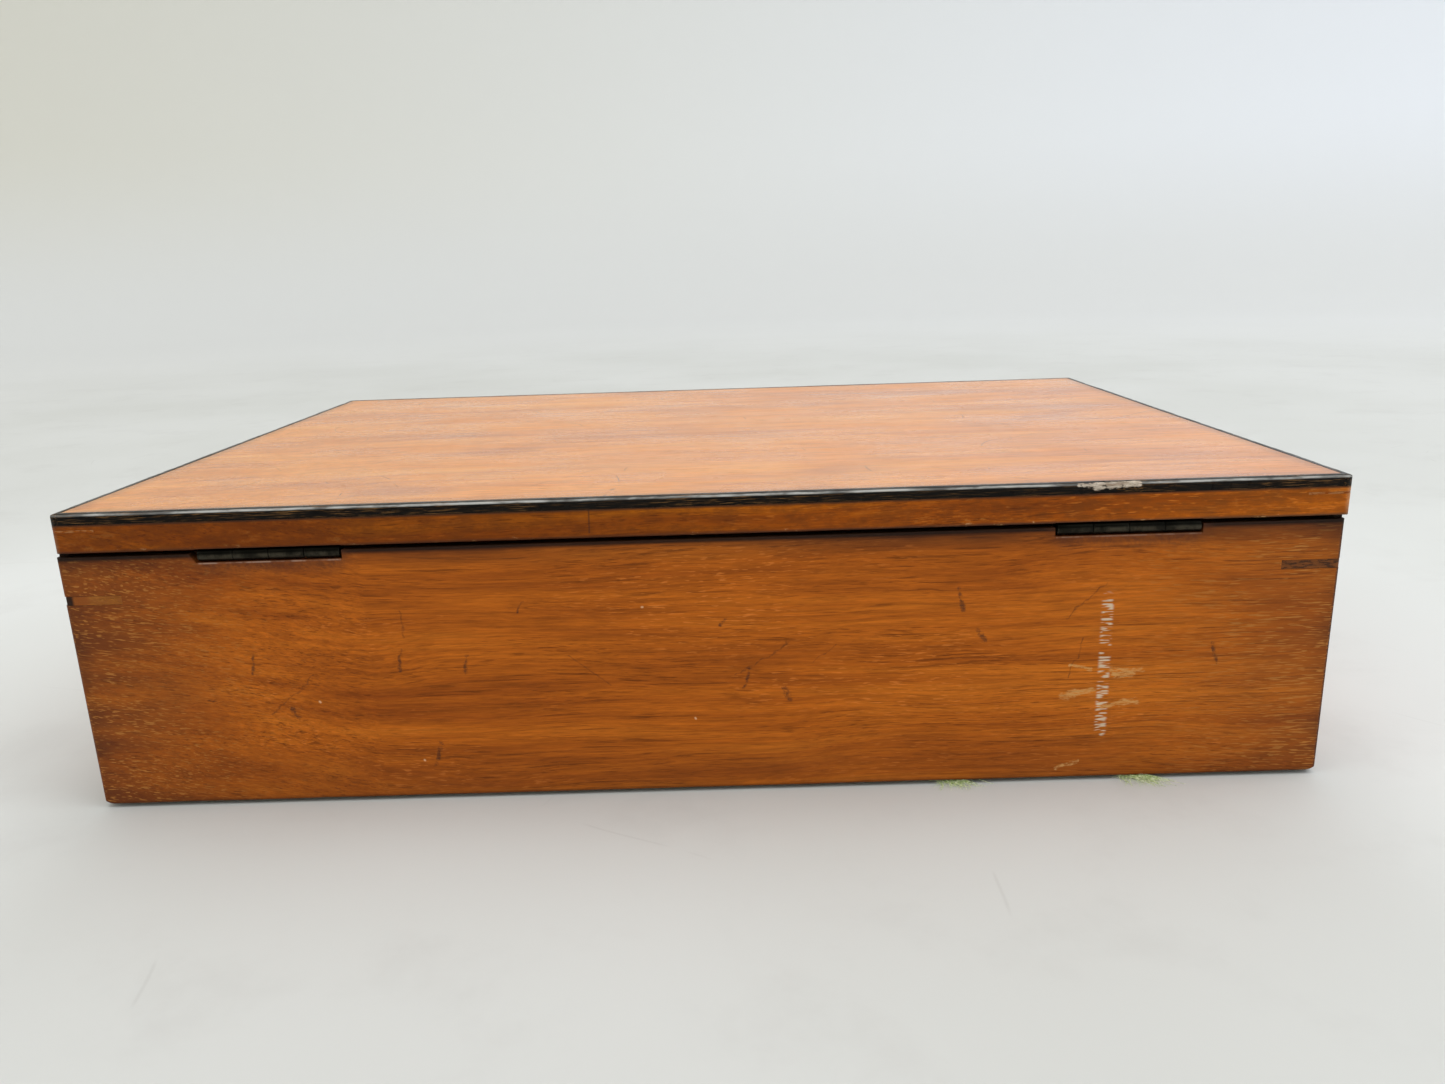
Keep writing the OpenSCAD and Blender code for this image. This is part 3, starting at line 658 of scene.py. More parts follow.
def metal(name, bright, dull, rough, seed, scale=2.0, tarnish=0.5, contrast=1.0, lid_shade_z=None):
    """Brass with patina: dull in the hollows of a noise, bright where it is rubbed, with file marks.

    Above the height given last, in millimetres, it is black: painted shade where the lid shades the knuckles."""
    look = Look(name)
    cloud = look.fit(look.noise(look.p, scale, 4, 0.65, shift=seed), 0.32, 0.68)
    files = look.noise(look.p, (0.12, 6, 6), 2, 0.5, shift=seed + 2)
    share = look.math("ADD", look.math("MULTIPLY", cloud, 0.8), look.fit(files, 0.4, 0.6, 0.0, 0.2), clamp=True)
    share = look.math("MULTIPLY_ADD", share, contrast, 0.5 - 0.5 * contrast)
    colour = look.mix(look.fit(share, tarnish - 0.35, tarnish + 0.35), dull, bright)
    # Painted shade: near black above that height, under the lid.
    if lid_shade_z:
        colour = look.mix(look.fit(look.z, lid_shade_z - 0.5, lid_shade_z + 0.2, 0.0, 0.93), colour, (0.004, 0.004, 0.003))
    gloss = look.fit(share, 0.0, 1.0, rough + 0.18, rough, False)
    height = look.math("ADD", look.math("MULTIPLY", cloud, 0.5), look.math("MULTIPLY", files, 0.4))
    return look.finish(colour, gloss, height, 0.02, metal=1.0)


def baize_look():
    """Green felted wool: short fibres that lie every way, with a soft pale nap, and painted shade near black at the
    edge that shows under the walls.
    """
    look = Look("green_baize")
    mat = look.noise(look.p, (0.5, 0.09, 0.5), 3, 0.7, 2.0, shift=1)
    cross = look.noise(look.p, (0.09, 0.5, 0.5), 3, 0.7, 2.0, shift=4)
    nap = look.math("MULTIPLY", look.math("ADD", mat, cross), 0.5)
    cloud = look.noise(look.p, 24, 3, shift=7)
    colour = look.ramp(nap, [(0.36, (0.030, 0.075, 0.018)), (0.50, (0.075, 0.165, 0.040)), (0.66, (0.155, 0.270, 0.080))])
    colour = look.mix(look.fit(cloud, 0.35, 0.65, 0.0, 0.35), colour, (0.120, 0.190, 0.050))
    # Painted shade: the edge that shows under the walls is made nearly black.
    edge = look.times(look.fit(look.z, 1.15, 1.25, 1.0, 0.0), look.most(
        look.near_end(look.x, WALLS[0].x / MM, WALLS[1].x / MM, 3.0),
        look.near_end(look.y, WALLS[0].y / MM, WALLS[1].y / MM, 3.0)))
    colour = look.mix(look.fit(edge, 0.05, 0.2, 0.0, 0.95), colour, (0.005, 0.006, 0.004))
    look.shader.inputs["Sheen Weight"].default_value = 0.5
    look.shader.inputs["Sheen Roughness"].default_value = 0.5
    look.shader.inputs["Sheen Tint"].default_value = (0.70, 0.90, 0.50, 1.0)
    return look.finish(colour, 0.95, nap, 0.25)


def fluff_look():
    look = Look("baize_fluff")
    cloud = look.noise(look.p, 0.7, 3, 0.6)
    colour = look.ramp(cloud, [(0.38, (0.36, 0.50, 0.14)), (0.50, (0.78, 0.88, 0.46)), (0.62, (0.98, 1.0, 0.80))])
    return look.finish(colour, 0.9, cloud, 0.02)


def floor_look():
    """A pale board with faint rubs and scratches near the box, and a sweep behind it, with painted light: the far floor
    lighter, the wall lighter and cooler towards -X and darker and warmer towards +X, and a painted glow on the wall and
    on the floor beside the box.
    """
    look = Look("pale_floor")
    shader = look.shader.inputs
    cloud = look.noise(look.p, 260, 2)
    colour = look.mix(look.fit(cloud, 0.3, 0.7), (0.575, 0.58, 0.555), (0.62, 0.625, 0.605))
    rub = look.fit(look.noise(look.p, (60, 60, 60), 5, 0.65, shift=3), 0.50, 0.72)
    colour = look.mix(look.math("MULTIPLY", rub, 0.18), colour, (0.44, 0.43, 0.41))
    for i in range(4):
        angle = 0.5 + 0.8 * i
        across = look.math("ADD", look.math("MULTIPLY", look.x, math.sin(angle)), look.math("MULTIPLY", look.y, math.cos(angle)))
        turn = look.math("MULTIPLY", look.noise(look.p, 120, 1, shift=3 * i), 60.0)
        line = look.fit(look.math("PINGPONG", look.math("ADD", across, turn), 83.0 + 17 * i), 0.0, 0.7, 1.0, 0.0)
        line = look.times(line, look.fit(look.noise(look.p, 50, 2, shift=5 * i + 2), 0.57, 0.63))
        colour = look.mix(look.math("MULTIPLY", line, 0.22), colour, (0.40, 0.39, 0.37))
    # Painted light: the far floor is made lighter.
    away = look.vector("LENGTH", look.vector("MULTIPLY", look.p, (1.0, 1.0, 0.0)))
    colour = look.mix(look.fit(away, 900, 2100), colour, (0.72, 0.725, 0.715))
    # Painted light: the wall is lighter and cooler towards -X, darker and warmer towards +X.
    side = look.ramp(look.fit(look.x, -1800, 1800, 0.0, 1.0, False), [(0.0, (0.76, 0.785, 0.825)), (1.0, (0.62, 0.61, 0.545))])
    high = look.fit(look.z, 0, 500)
    colour = look.mix(high, colour, side)
    # Painted light: the floor beside the box and the wall glow, to lift the box's shadow and brighten the wall.
    reach = look.fit(look.math("ABSOLUTE", look.x), 150, 215)
    reach = look.times(reach, look.fit(look.math("ABSOLUTE", look.x), 260, 620, 1.0, 0.0),
                       look.fit(look.math("ABSOLUTE", look.y), 110, 330, 1.0, 0.0))
    painted_glow_beside_box = look.mix(look.math("MULTIPLY", reach, 0.40), (0.0, 0.0, 0.0), (0.90, 0.96, 1.0))
    look.put(look.mix(look.math("MULTIPLY", high, 0.40), painted_glow_beside_box, side), shader["Emission Color"])
    shader["Emission Strength"].default_value = 0.25
    shader["Specular IOR Level"].default_value = 0.15
    return look.finish(colour, 0.6, rub, 0.01)


# ---------------------------------------------------------------- camera, light and floor

LENS_MM = 26.4          # on a 36 mm wide sensor
VIEW_FROM = Vector((-9.2, 389.7, 145.2)) * MM
VIEW_TURN = 180.53      # degrees from +Y, anticlockwise seen from above
VIEW_DOWN = 14.93
VIEW_ROLL = -1.89


def make_camera():
    data = bpy.data.cameras.new("camera")
    data.lens = LENS_MM
    data.sensor_width = 36.0
    data.clip_start = 0.01
    camera = bpy.data.objects.new("camera", data)
    camera.matrix_world = (Matrix.Translation(VIEW_FROM)
                           @ Matrix.Rotation(math.radians(VIEW_TURN), 4, "Z")
                           @ Matrix.Rotation(math.radians(90 - VIEW_DOWN), 4, "X")
                           @ Matrix.Rotation(math.radians(VIEW_ROLL), 4, "Z"))
    bpy.context.scene.collection.objects.link(camera)
    bpy.context.scene.camera = camera


def make_floor():
    """A round floor that sweeps up into a pale wall, well outside every view's camera."""
    radius, bend, height, n = 3.2, 1.2, 2.6, 96
    profile = [(0.0, 0.0), (0.5, 0.0), (radius - bend, 0.0)]
    profile += [(radius - bend + bend * math.sin(a), bend - bend * math.cos(a))
                for a in np.linspace(0, math.pi / 2, 13)[1:]]
    profile.append((radius, height))
    verts = [(r * math.cos(2 * math.pi * i / n), r * math.sin(2 * math.pi * i / n), z)
             for r, z in profile[1:] for i in range(n)]
    rows = len(profile) - 1
    faces = [(j * n + i, j * n + (i + 1) % n, (j + 1) * n + (i + 1) % n, (j + 1) * n + i)
             for j in range(rows - 1) for i in range(n)]
    verts.append((0.0, 0.0, 0.0))
    faces += [((i + 1) % n, i, len(verts) - 1) for i in range(n)]
    mesh = bpy.data.meshes.new("floor")
    mesh.from_pydata(verts, [], faces)
    mesh.shade_smooth()
    floor = bpy.data.objects.new("floor", mesh)
    floor.data.materials.append(floor_look())
    bpy.context.scene.collection.objects.link(floor)


def area_light(name, place, target, size, watts, colour):
    data = bpy.data.lights.new(name, "AREA")
    data.shape = "RECTANGLE"
    data.size, data.size_y = size
    data.energy = watts
    data.color = colour
    light = bpy.data.objects.new(name, data)
    light.location = place
    light.rotation_euler = (Vector(target) - Vector(place)).to_track_quat("-Z", "Y").to_euler()
    light.visible_camera = False
    light.visible_glossy = True
    bpy.context.scene.collection.objects.link(light)


def make_light():
    world = bpy.data.worlds.new("room")
    world.use_nodes = True
    world.node_tree.nodes["Background"].inputs[0].default_value = (0.94, 0.97, 1.0, 1.0)
    world.node_tree.nodes["Background"].inputs[1].default_value = 0.64
    bpy.context.scene.world = world
    area_light("ceiling", (-0.2, -0.3, 2.3), (0.0, -0.1, 0.0), (3.2, 3.0), 30, (1.0, 0.985, 0.95))
    area_light("window", (-2.2, 0.5, 2.2), (0.0, -0.2, 0.0), (2.4, 2.0), 31, (0.94, 0.97, 1.0))
    area_light("fill", (2.2, 0.6, 1.8), (0.1, 0.0, 0.0), (2.0, 1.6), 13, (1.0, 0.97, 0.92))
    view = bpy.context.scene.view_settings
    view.view_transform = "Standard"
    view.look = "None"


# ---------------------------------------------------------------- the wooden pieces

def kerf(name, lo, hi, sx, sy, leg, z0, z1, r=0.0, out=0.0):
    """The triangle that a corner key with a corner radius r fills, or with out above 0 the cut for it."""
    x, y = (hi.x if sx > 0 else lo.x), (hi.y if sy > 0 else lo.y)
    tip = [(x - sx * r * (1 - math.sin(a)), y - sy * r * (1 - math.cos(a)))
           for a in np.linspace(0, math.pi / 2, 6 if r else 2)] if r else [(x + sx * out, y + sy * out)]
    outline = [(x - sx * (leg + out), y + sy * out)] + tip + [(x + sx * out, y - sy * (leg + out))]
    return prism(name, outline, z0, z1)


CORNERS = [(sx, sy) for sx in (-1, 1) for sy in (-1, 1)]
KEY = span("corner_keys")
LID_KEY = span("lid_corner_keys")
KEY_LEG = 16 * MM
LID_KEY_LEG = 12 * MM


def knock(along, z):
    """Shallow dents in the back wall, deepest at the marks that the material darkens."""
    depth = 0.0
    for (x, up), _, half in SMUDGES[:7]:
        gap = math.hypot(along / MM - x, z / MM - up) / (half + 0.6)
        depth += 0.13 * MM * math.exp(-gap * gap)
    return depth


def make_walls():
    play = 0.08 * MM
    for i, side in enumerate(SIDES):
        name = f"{side}_wall"
        fine = side == "back"
        lo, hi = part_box(name)
        piece = board(f"{name}_worn", side, WALLS, WALL_T, lo.z, hi.z, 0.40 * MM, 0.45 * MM,
                      (1.3 if fine else 2.2) * MM, 7.3 * i, round_bottom=3.0 * MM, dent=knock if fine else None)
        cutters = [kerf("kerf", *WALLS, sx, sy, KEY_LEG, KEY[0].z - play, KEY[1].z + play, out=1 * MM)
                   for sx, sy in CORNERS if side in ("back", "front") and side == ("back" if sy > 0 else "front")
                   or side in ("left", "right") and side == ("right" if sx > 0 else "left")]
        if side == "back":
            cutters += hinge_cutters()
        if side == "front":
            cutters += catch_cutters()
        if side in ("left", "right"):
            cutters.append(block("turn_room", (lo.x - 1 * MM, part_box("hinge_left_pin")[0].y, RIM_Z),
                                 (hi.x + 1 * MM, 1, 1)))
        carve(piece, cutters)
        if side == "back":
            marks = back_marks
        else:
            marks = plain_marks(i, mm(WALLS[0]), mm(WALLS[1]), "X" if side == "front" else "Y")
        grain = "X" if side in ("back", "front") else "Y"
        piece.data.materials.append(wood(name, grain, MAHOGANY, 11.7 * i + 2, extra=marks))
        place(piece, "base", "mahogany", name)


def hinge_cutters():
    """The mortises for the lower leaves, with the room round the knuckles."""
    cutters = []
    knuckle_d = 3.5 * MM
    for lo, hi in HINGES:
        out = 0.5 * MM
        leaf_z = lo.z + 0.01 * MM
        cutters.append(block("mortise", (lo.x - out, lo.y - 0.1 * MM, leaf_z), (hi.x + out, hi.y + 1 * MM, 1)))
        cutters.append(block("knuckle_room", (lo.x - out * 0.99, hi.y - knuckle_d, lo.z - 0.25 * MM),
                             (hi.x + out * 0.99, hi.y + 2 * MM, 0.99)))
        if lo.x > 0:
            cutters.append(slope("slope", hi.x, hi.y - knuckle_d, lo.z - 0.2 * MM))
    return cutters


def slope(name, x, y, z):
    """The chisel's slip at the outer end of the mortise at the +X side."""
    outline = [(x, z), (x + 0.7 * MM, z), (x + 2.6 * MM, RIM_Z + 0.5 * MM), (x, RIM_Z + 0.5 * MM)]
    verts = [(px, py, pz) for py in (y, y + 20 * MM) for px, pz in outline]
    faces = [(i, (i + 1) % 4, 4 + (i + 1) % 4, 4 + i) for i in range(4)] + [(0, 1, 2, 3), (4, 5, 6, 7)]
    return add_mesh(name, verts, faces)


def catch_cutters():
    """The groove for the bar, and the slots that the hooks drop into."""
    bar_lo, bar_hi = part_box("lock_bar")
    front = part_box("lock_finger_left")[0].y
    inner = WALLS[0].y + WALL_T
    travel = 5 * MM
    play = 0.2 * MM
    cutters = [block("groove", (bar_lo.x - travel - play, front - play, bar_lo.z - play),
                     (bar_hi.x + play, inner + 1 * MM, bar_hi.z + play))]
    for side in ("left", "right"):
        lo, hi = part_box(f"catch_hook_{side}")
        cutters.append(block("slot", (lo.x - 0.6 * MM, lo.y - 0.8 * MM, lo.z - 0.8 * MM),
                             (hi.x + 0.6 * MM, hi.y + 0.4 * MM, 1)))
    return cutters


def place(piece, body, slot, *nodes):
    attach(piece, body)
    if nodes:
        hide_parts(*nodes)


def make_rails():
    z0, z1 = RAILS[0].z, RAILS[1].z
    play = 0.03 * MM
    for i, side in enumerate(SIDES):
        name = f"lid_{side}_rail"
        piece = board(f"{name}_worn", side, RAILS, WALL_T, z0, z1, 0.12 * MM, 0.55 * MM,
                      (1.3 if side == "back" else 2.2) * MM, 5.1 * i + 3, LID_CORNER_R, round_bottom=1.2 * MM)
        cutters = [kerf("kerf", *RAILS, sx, sy, LID_KEY_LEG, LID_KEY[0].z - play, LID_KEY[1].z + play, out=1 * MM)
                   for sx, sy in CORNERS if side in ("back", "front") and side == ("back" if sy > 0 else "front")
                   or side in ("left", "right") and side == ("right" if sx > 0 else "left")]
        if side == "back":
            for lo, hi in HINGES:
                cutters.append(block("relief", (lo.x - 0.5 * MM, hi.y - 3.5 * MM, -1), (hi.x + 0.5 * MM, 1, z0 + 0.25 * MM)))
        if side == "front":
            for s in ("left", "right"):
                lo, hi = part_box(f"catch_plate_{s}")
                cutters.append(block("pocket", (lo.x - 0.1 * MM, lo.y - 0.1 * MM, -1), (hi.x + 0.1 * MM, hi.y + 0.1 * MM, hi.z)))
        carve(piece, cutters)
        grain = "X" if side in ("back", "front") else "Y"
        piece.data.materials.append(wood(name, grain, MAHOGANY_EDGE, 6.1 * i + 31, pores=0.6, extra=rail_marks))
        place(piece, "lid", "mahogany", name)


def rail_marks(look, colour, rough, height):
    lo, hi = mm(RAILS[0]), mm(RAILS[1])
    mottle = look.noise(look.p, (6, 6, 2.6), 4, 0.72, shift=3)
    colour = look.mix(look.fit(mottle, 0.38, 0.62, 0.45, 0.0), colour, (0.12, 0.034, 0.006))
    gold = look.times(look.fit(mottle, 0.54, 0.66), look.fit(look.noise(look.p, 30, 2, shift=7), 0.42, 0.62))
    colour = look.mix(look.math("MULTIPLY", gold, 0.5), colour, OCHRE)
    upright = look.most(look.upright(), look.fit(look.y, hi[1] - 7, hi[1] - 3))
    foot = look.times(look.fit(look.z, lo[2] + 0.15, lo[2] + 1.1, 1.0, 0.0), upright)
    colour = look.mix(look.math("MULTIPLY", foot, 0.85), colour, (0.050, 0.030, 0.022))
    worn = look.times(look.fit(look.z, lo[2] + 0.6, lo[2] + 1.3, 1.0, 0.0), look.fit(mottle, 0.60, 0.66), upright)
    colour = look.mix(look.math("MULTIPLY", worn, 0.7), colour, BARE_WOOD)
    colour = look.mix(look.times(look.board_end(lo, hi, 2.6), look.fit(mottle, 0.40, 0.58, 0.1, 0.6)), colour, BARE_WOOD)
    # Painted light: the rails are darker towards +X and lighter towards -X.
    colour = look.mix(look.fit(look.x, -130, 60, 0.0, 0.58), colour, (0.10, 0.022, 0.001))
    colour = look.mix(look.fit(look.x, -60, -160, 0.0, 0.08), colour, (0.62, 0.23, 0.012))
    under = look.fit(look.z, hi[2] - 0.8, hi[2] - 0.1, 0.0, 0.8)
    colour = look.mix(under, colour, (0.035, 0.018, 0.010))
    cut = look.stroke(look.p, (28.5, hi[1], lo[2] + 1.5), (28.3, hi[1], hi[2]), 0.35, 0.8)
    colour = look.mix(look.math("MULTIPLY", cut, 0.6), colour, DIRT)
    height = look.math("SUBTRACT", height, look.math("MULTIPLY", cut, 1.2))
    return colour, rough, height


def chip(along, z):
    """The bead's ragged chip at the back."""
    inside = smooth_step(along / MM, -117, -114) * (1 - smooth_step(along / MM, -106.5, -100.5))
    ragged = 0.5 + 0.5 * noise.noise(Vector((along / (1.9 * MM), z / (0.9 * MM), 4.0)))
    return inside * ragged * 0.85 * MM


def make_beads():
    look = bead_look()
    z0, z1 = BEADS[0].z, BEADS[1].z
    for i, side in enumerate(SIDES):
        piece = board(f"bead_{side}_worn", side, BEADS, BEAD_W, z0, z1, 1.45 * MM, 0.1 * MM, 0.8 * MM, 3.7 * i + 1,
                      LID_CORNER_R, round_top=1.6 * MM, dent=chip if side == "back" else None)
        piece.data.materials.append(look)
        place(piece, "lid", "ebonised_wood", f"bead_{side}")


def make_lid_top():
    """The top board, not quite flat, with its upper face a hair below the bead."""
    lo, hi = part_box("lid_top_board")
    step = 2.5 * MM
    nx, ny = round((hi.x - lo.x) / step), round((hi.y - lo.y) / step)
    verts, faces = [], []
    for k, z in enumerate((hi.z, lo.z)):
        for j in range(ny + 1):
            for i in range(nx + 1):
                x, y = lo.x + (hi.x - lo.x) * i / nx, lo.y + (hi.y - lo.y) * j / ny
                dip = 0.06 * MM * (1 + hum(x, y, 0, 48 * MM, 3)) + 0.012 * MM * (1 + hum(x, y, 0, 9 * MM, 5)) if k == 0 else 0
                verts.append((x, y, z - dip))
    row, layer = nx + 1, (nx + 1) * (ny + 1)
    for j in range(ny):
        for i in range(nx):
            a = j * row + i
            faces.append((a, a + 1, a + 1 + row, a + row))
            faces.append((layer + a, layer + a + row, layer + a + 1 + row, layer + a + 1))
    rim = [i for i in range(nx)] + [nx + j * row for j in range(ny)]
    rim += [ny * row + nx - i for i in range(nx)] + [(ny - j) * row for j in range(ny)]
    for a, b in zip(rim, rim[1:] + rim[:1]):
        faces.append((a, b, layer + b, layer + a))
    piece = add_mesh("lid_top_worn", verts, faces, 60)
    piece.data.materials.append(wood("lid_top", "X", LID_MAHOGANY_AND_SHEEN, 71, pores=0.22, flecks=0.08, rough=0.26, shine=1.0,
                                     lines=0.12, extra=lid_marks, depth=0.03))
    place(piece, "lid", "mahogany", "lid_top_board")


def lid_marks(look, colour, rough, height):
    """Broad dark clouds along the grain, dirt by the bead, and scratches every way."""
    lo, hi = mm(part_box("lid_top_board")[0]), mm(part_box("lid_top_board")[1])
    cloud = look.noise(look.p, (85, 26, 26), 3, 0.55, 0.5, shift=12)
    colour = look.mix(look.fit(cloud, 0.46, 0.70, 0.0, 0.5), colour, (0.36, 0.10, 0.03))
    rim = look.most(look.near_end(look.x, lo[0], hi[0], 5), look.near_end(look.y, lo[1], hi[1], 5))
    colour = look.mix(look.math("MULTIPLY", rim, 0.35), colour, DIRT)
    flat = look.combine(look.x, look.y, 0.0)
    scratch = None
    for i in range(7):
        angle = 0.4 + 0.87 * i
        across = look.math("ADD", look.math("MULTIPLY", look.x, math.sin(angle)), look.math("MULTIPLY", look.y, math.cos(angle)))
        turn = look.math("MULTIPLY", look.noise(flat, 45, 1, shift=3 * i), 40.0)
        saw = look.math("PINGPONG", look.math("ADD", across, turn), 31.0 + 5 * i)
        line = look.fit(saw, 0.0, 0.28, 1.0, 0.0)
        line = look.times(line, look.fit(look.noise(flat, 16, 2, shift=5 * i + 2), 0.55, 0.60))
        scratch = line if scratch is None else look.most(scratch, line)
    colour = look.mix(look.math("MULTIPLY", scratch, 0.6), colour, DIRT)
    height = look.math("SUBTRACT", height, look.math("MULTIPLY", scratch, 1.5))
    look.shader.inputs["Coat Weight"].default_value = 0.22
    look.shader.inputs["Coat Roughness"].default_value = 0.20
    smear = look.noise(flat, (70, 18, 18), 4, 0.6, shift=20)
    rough = look.math("ADD", rough, look.fit(smear, 0.35, 0.65, -0.04, 0.08, False))
    return colour, rough, height


def make_keys():
    look = wood("corner_key", "X", ((0.22, 0.066, 0.010), (0.33, 0.112, 0.016), (0.44, 0.170, 0.030)), 91, pores=0.7,
                extra=key_marks)
    pieces = []
    for sx, sy in CORNERS:
        shift = Vector((0.06 * MM, 0.06 * MM, 0))
        lo, hi = WALLS[0] + shift, WALLS[1] - shift
        key = kerf(f"corner_key_{len(pieces) + 1}", lo, hi, sx, sy, KEY_LEG - 0.1 * MM, KEY[0].z, KEY[1].z, CORNER_R)
        if (sx, sy) == (1, 1):
            cut = WALLS[1].x - 0.6 * MM
            ragged = [(cut, 1)] + [(cut + 0.35 * MM * hum(y, 0, 0, 1.5 * MM, 2) - 0.3 * MM, y)
                                   for y in np.linspace(WALLS[1].y + 1 * MM, WALLS[1].y - 17 * MM, 30)] + [(cut, -1), (1, -1), (1, 1)]
            carve(key, [prism("break", ragged, KEY[0].z - 1 * MM, KEY[1].z + 1 * MM)])
        key.data.materials.append(look)
        pieces.append(key)
    for i, key in enumerate(pieces):
        place(key, "base", "key_wood", *(["corner_keys"] if i == 0 else []))
    thin = wood("lid_key", "X", MAHOGANY_EDGE, 47, pores=0.5, extra=lid_key_marks)
    for i, (sx, sy) in enumerate(CORNERS):
        shift = Vector((0.04 * MM, 0.04 * MM, 0))
        key = kerf(f"lid_key_{i + 1}", RAILS[0] + shift, RAILS[1] - shift, sx, sy, LID_KEY_LEG, LID_KEY[0].z,
                   LID_KEY[1].z, LID_CORNER_R)
        key.data.materials.append(thin)
        place(key, "lid", "key_wood", *(["lid_corner_keys"] if i == 0 else []))


def key_marks(look, colour, rough, height):
    """The key at the back left is dark with dirt. The one at the back right is dark near its worn tip, with dirt and
    painted shade in its notch.
    """
    speckle = look.fit(look.noise(look.p, (2.2, 2.2, 0.55), 3, 0.7, shift=6), 0.44, 0.58)
    left = look.fit(look.x, -140, -130, 1.0, 0.0)
    grime = look.mix(look.math("MULTIPLY", speckle, 0.85), (0.185, 0.058, 0.014), (0.040, 0.018, 0.009))
    skin = look.fit(look.noise(look.p, (3.0, 3.0, 0.8), 3, 0.7, shift=11), 0.42, 0.56, 0.15, 0.8)
    colour = look.mix(skin, colour, (0.27, 0.085, 0.016))
    colour = look.mix(left, colour, grime)
    mid = look.fit(look.x, 163.5, 165.5)
    colour = look.mix(look.math("MULTIPLY", mid, 0.9), colour, (0.26, 0.070, 0.012))
    # Dirt and painted shade: the worn tip in its notch is nearly black.
    tip = look.fit(look.x, 168.3, 169.3)
    colour = look.mix(look.math("MULTIPLY", tip, 0.95), colour, (0.018, 0.009, 0.006))
    return colour, rough, height


def lid_key_marks(look, colour, rough, height):
    """A lid key shows as pale broken flecks."""
    bare = look.fit(look.noise(look.p, (2.6, 2.6, 0.5), 3, 0.7, shift=4), 0.46, 0.56)
    colour = look.mix(0.55, colour, (0.13, 0.032, 0.004))
    colour = look.mix(look.math("MULTIPLY", bare, 0.35), colour, (0.55, 0.30, 0.12))
    return colour, rough, height


# ---------------------------------------------------------------- baize

def make_baize(name, node, seed):
    """A sheet of baize with a soft, slightly frayed edge."""
    lo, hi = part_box(node)
    inset, step = 0.4 * MM, 4 * MM
    nx, ny = round((hi.x - lo.x) / step), round((hi.y - lo.y) / step)
    grid_x = np.concatenate([[0, 0.1, 0.25], np.arange(1, nx) , [nx - 0.25, nx - 0.1, nx]]) / nx
    grid_y = np.concatenate([[0, 0.1, 0.25], np.arange(1, ny) , [ny - 0.25, ny - 0.1, ny]]) / ny
    middle_z = (lo.z + hi.z) / 2
    half = (hi.z - lo.z) / 2
    verts, faces = [], []
    for sign in (1, -1):
        for v in grid_y:
            for u in grid_x:
                x = lo.x + inset + (hi.x - lo.x - 2 * inset) * u
                y = lo.y + inset + (hi.y - lo.y - 2 * inset) * v
                edge = min(u, 1 - u, v, 1 - v)
                x += inset * hum(x, y, 0, 5 * MM, seed) * (edge == 0)
                y += inset * hum(x, y, 1, 5 * MM, seed) * (edge == 0)
                full = min(1.0, 0.35 + edge * min(nx, ny) * 2.6) if edge * min(nx, ny) < 0.25 else 1.0
                verts.append((x, y, middle_z + sign * half * full * (1 - 0.04 * (1 + hum(x, y, 0, 3 * MM, seed)))
                              if sign > 0 else middle_z - half * full))
    row, layer = len(grid_x), len(grid_x) * len(grid_y)
    for j in range(len(grid_y) - 1):
        for i in range(row - 1):
            a = j * row + i
            faces.append((a, a + 1, a + 1 + row, a + row))
            faces.append((layer + a, layer + a + row, layer + a + 1 + row, layer + a + 1))
    last = len(grid_y) - 1
    rim = [i for i in range(row - 1)] + [row - 1 + j * row for j in range(last)]
    rim += [last * row + row - 1 - i for i in range(row - 1)] + [(last - j) * row for j in range(last)]
    for a, b in zip(rim, rim[1:] + rim[:1]):
        faces.append((a, b, layer + b, layer + a))
    piece = add_mesh(name, verts, faces, 80)
    piece.data.materials.append(bpy.data.materials.get("green_baize") or baize_look())
    place(piece, "base", "green_baize", node)
    return piece


def make_tuft(name, x, width, reach, lean, count, seed):
    """Loose wool fibres that have worked out from under the back wall."""
    rng = np.random.default_rng(seed)
    y0, top = WALLS[1].y - 3 * MM, WALLS[0].z
    verts, faces = [], []
    for _ in range(count):
        r = rng.uniform(0.05, 0.11) * MM
        start = Vector((x + rng.normal(0, 0.30) * width, y0, rng.uniform(0.15, 0.85) * top))
        side = rng.normal(lean, 0.45)
        length = (3 + reach * rng.uniform(0.0, 1.0) ** 1.5) * MM
        curl = rng.normal(0, 1.2)
        lift = rng.uniform(-0.10, 0.22)
        ring_n, steps = 4, 7
        base = len(verts)
        for k in range(steps + 1):
            s = k / steps
            c = start + Vector((side * length * s + curl * 0.5 * MM * math.sin(3 * s + curl), length * s,
                                lift * 0.7 * MM * s * s * reach))
            c.z = max(c.z, r + 0.02 * MM)
            taper = r * (1 - 0.6 * s)
            for q in range(ring_n):
                a = 2 * math.pi * q / ring_n
                verts.append((c.x + taper * math.cos(a), c.y, c.z + taper * math.sin(a)))
        for k in range(steps):
            for q in range(ring_n):
                a, b = base + k * ring_n + q, base + k * ring_n + (q + 1) % ring_n
                faces.append((a, b, b + ring_n, a + ring_n))
        faces.append(tuple(range(base, base + ring_n)))
        faces.append(tuple(range(base + steps * ring_n, base + (steps + 1) * ring_n)))
    piece = add_mesh(name, verts, faces, 80)
    piece.data.materials.append(bpy.data.materials.get("baize_fluff") or fluff_look())
    place(piece, "base", "green_baize")
    return piece


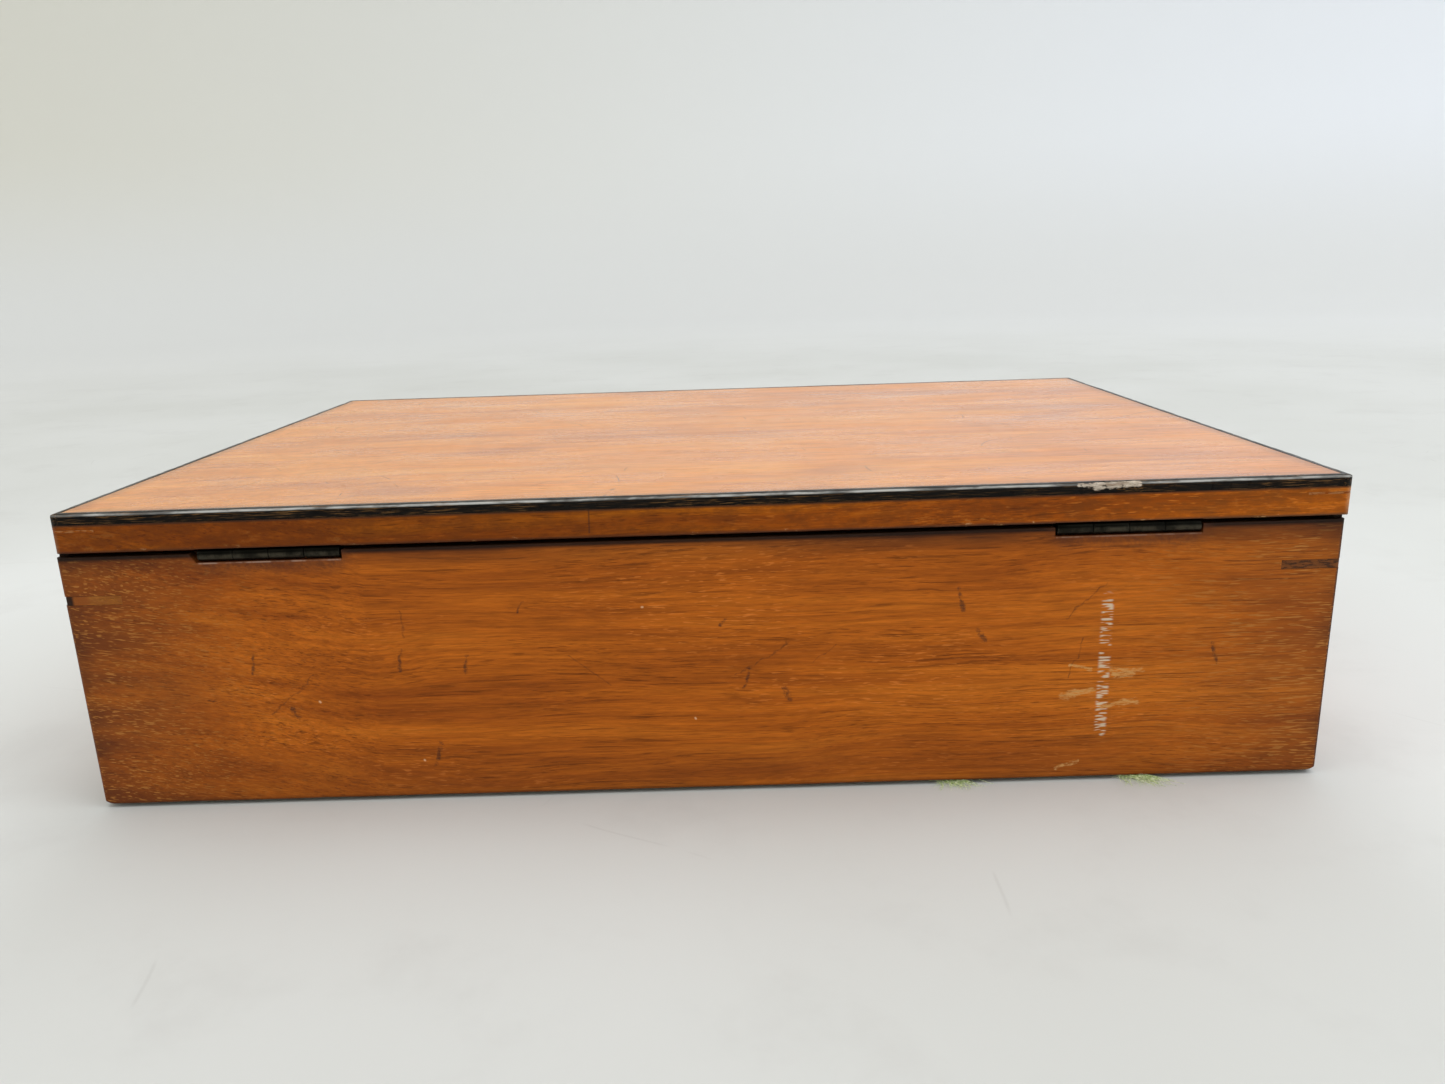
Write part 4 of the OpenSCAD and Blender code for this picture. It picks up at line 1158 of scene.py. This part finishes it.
def make_soft():
    under = make_baize("base_baize_sheet", "base_baize", 2.0)
    inside = make_baize("floor_baize_sheet", "floor_baize", 5.0)
    tufts = [make_tuft("baize_tuft_a", -70 * MM, 7 * MM, 4.5, 0.0, 130, 3),
             make_tuft("baize_tuft_b", -120 * MM, 6 * MM, 6.5, -0.35, 130, 8)]


# ---------------------------------------------------------------- CAD nodes that keep their shape

def dress(names, material, width):
    for name in names:
        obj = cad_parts[name]
        obj.data.materials.clear()
        obj.data.materials.append(material)
        soften(obj, width)


def dress_nodes():
    hinges = [f"hinge_{s}_{p}" for s in ("left", "right") for p in ("base_leaf", "lid_leaf", "pin")]
    dress(hinges, metal("hinge_patina", (0.055, 0.048, 0.034), (0.016, 0.0145, 0.011), 0.36, 3, 5.0, 0.5, 0.9,
                        RIM_Z / MM - 0.1), 0.10 * MM)
    screws = ["hinge_base_screws", "hinge_lid_screws", "catch_screws", "bottom_screws"]
    dress(screws, metal("screw_brass", (0.55, 0.42, 0.20), (0.16, 0.11, 0.05), 0.32, 8, 1.2, 0.5), 0.06 * MM)
    catch = ["lock_bar"] + [f"{p}_{s}" for p in ("lock_finger", "catch_plate", "catch_hook") for s in ("left", "right")]
    dress(catch, metal("catch_brass", (0.58, 0.43, 0.20), (0.34, 0.24, 0.10), 0.30, 5, 9.0, 0.4, 0.6), 0.12 * MM)
    cedar = ((0.26, 0.115, 0.045), (0.42, 0.21, 0.085), (0.54, 0.30, 0.13))
    pine = ((0.42, 0.25, 0.11), (0.58, 0.38, 0.19), (0.68, 0.49, 0.27))
    dress(["back_liner", "front_liner"], wood("liner_long", "X", cedar, 17, pores=0.4, flecks=0.2, rough=0.55), 0.35 * MM)
    dress(["left_liner", "right_liner"], wood("liner_end", "Y", cedar, 23, pores=0.4, flecks=0.2, rough=0.55), 0.35 * MM)
    dress(["bottom_board"], wood("bottom_pine", "X", pine, 29, pores=0.25, flecks=0.1, rough=0.7), 0.3 * MM)


# ---------------------------------------------------------------- all of it

make_camera()
make_floor()
make_light()
make_walls()
make_rails()
make_beads()
make_lid_top()
make_keys()
make_soft()
dress_nodes()
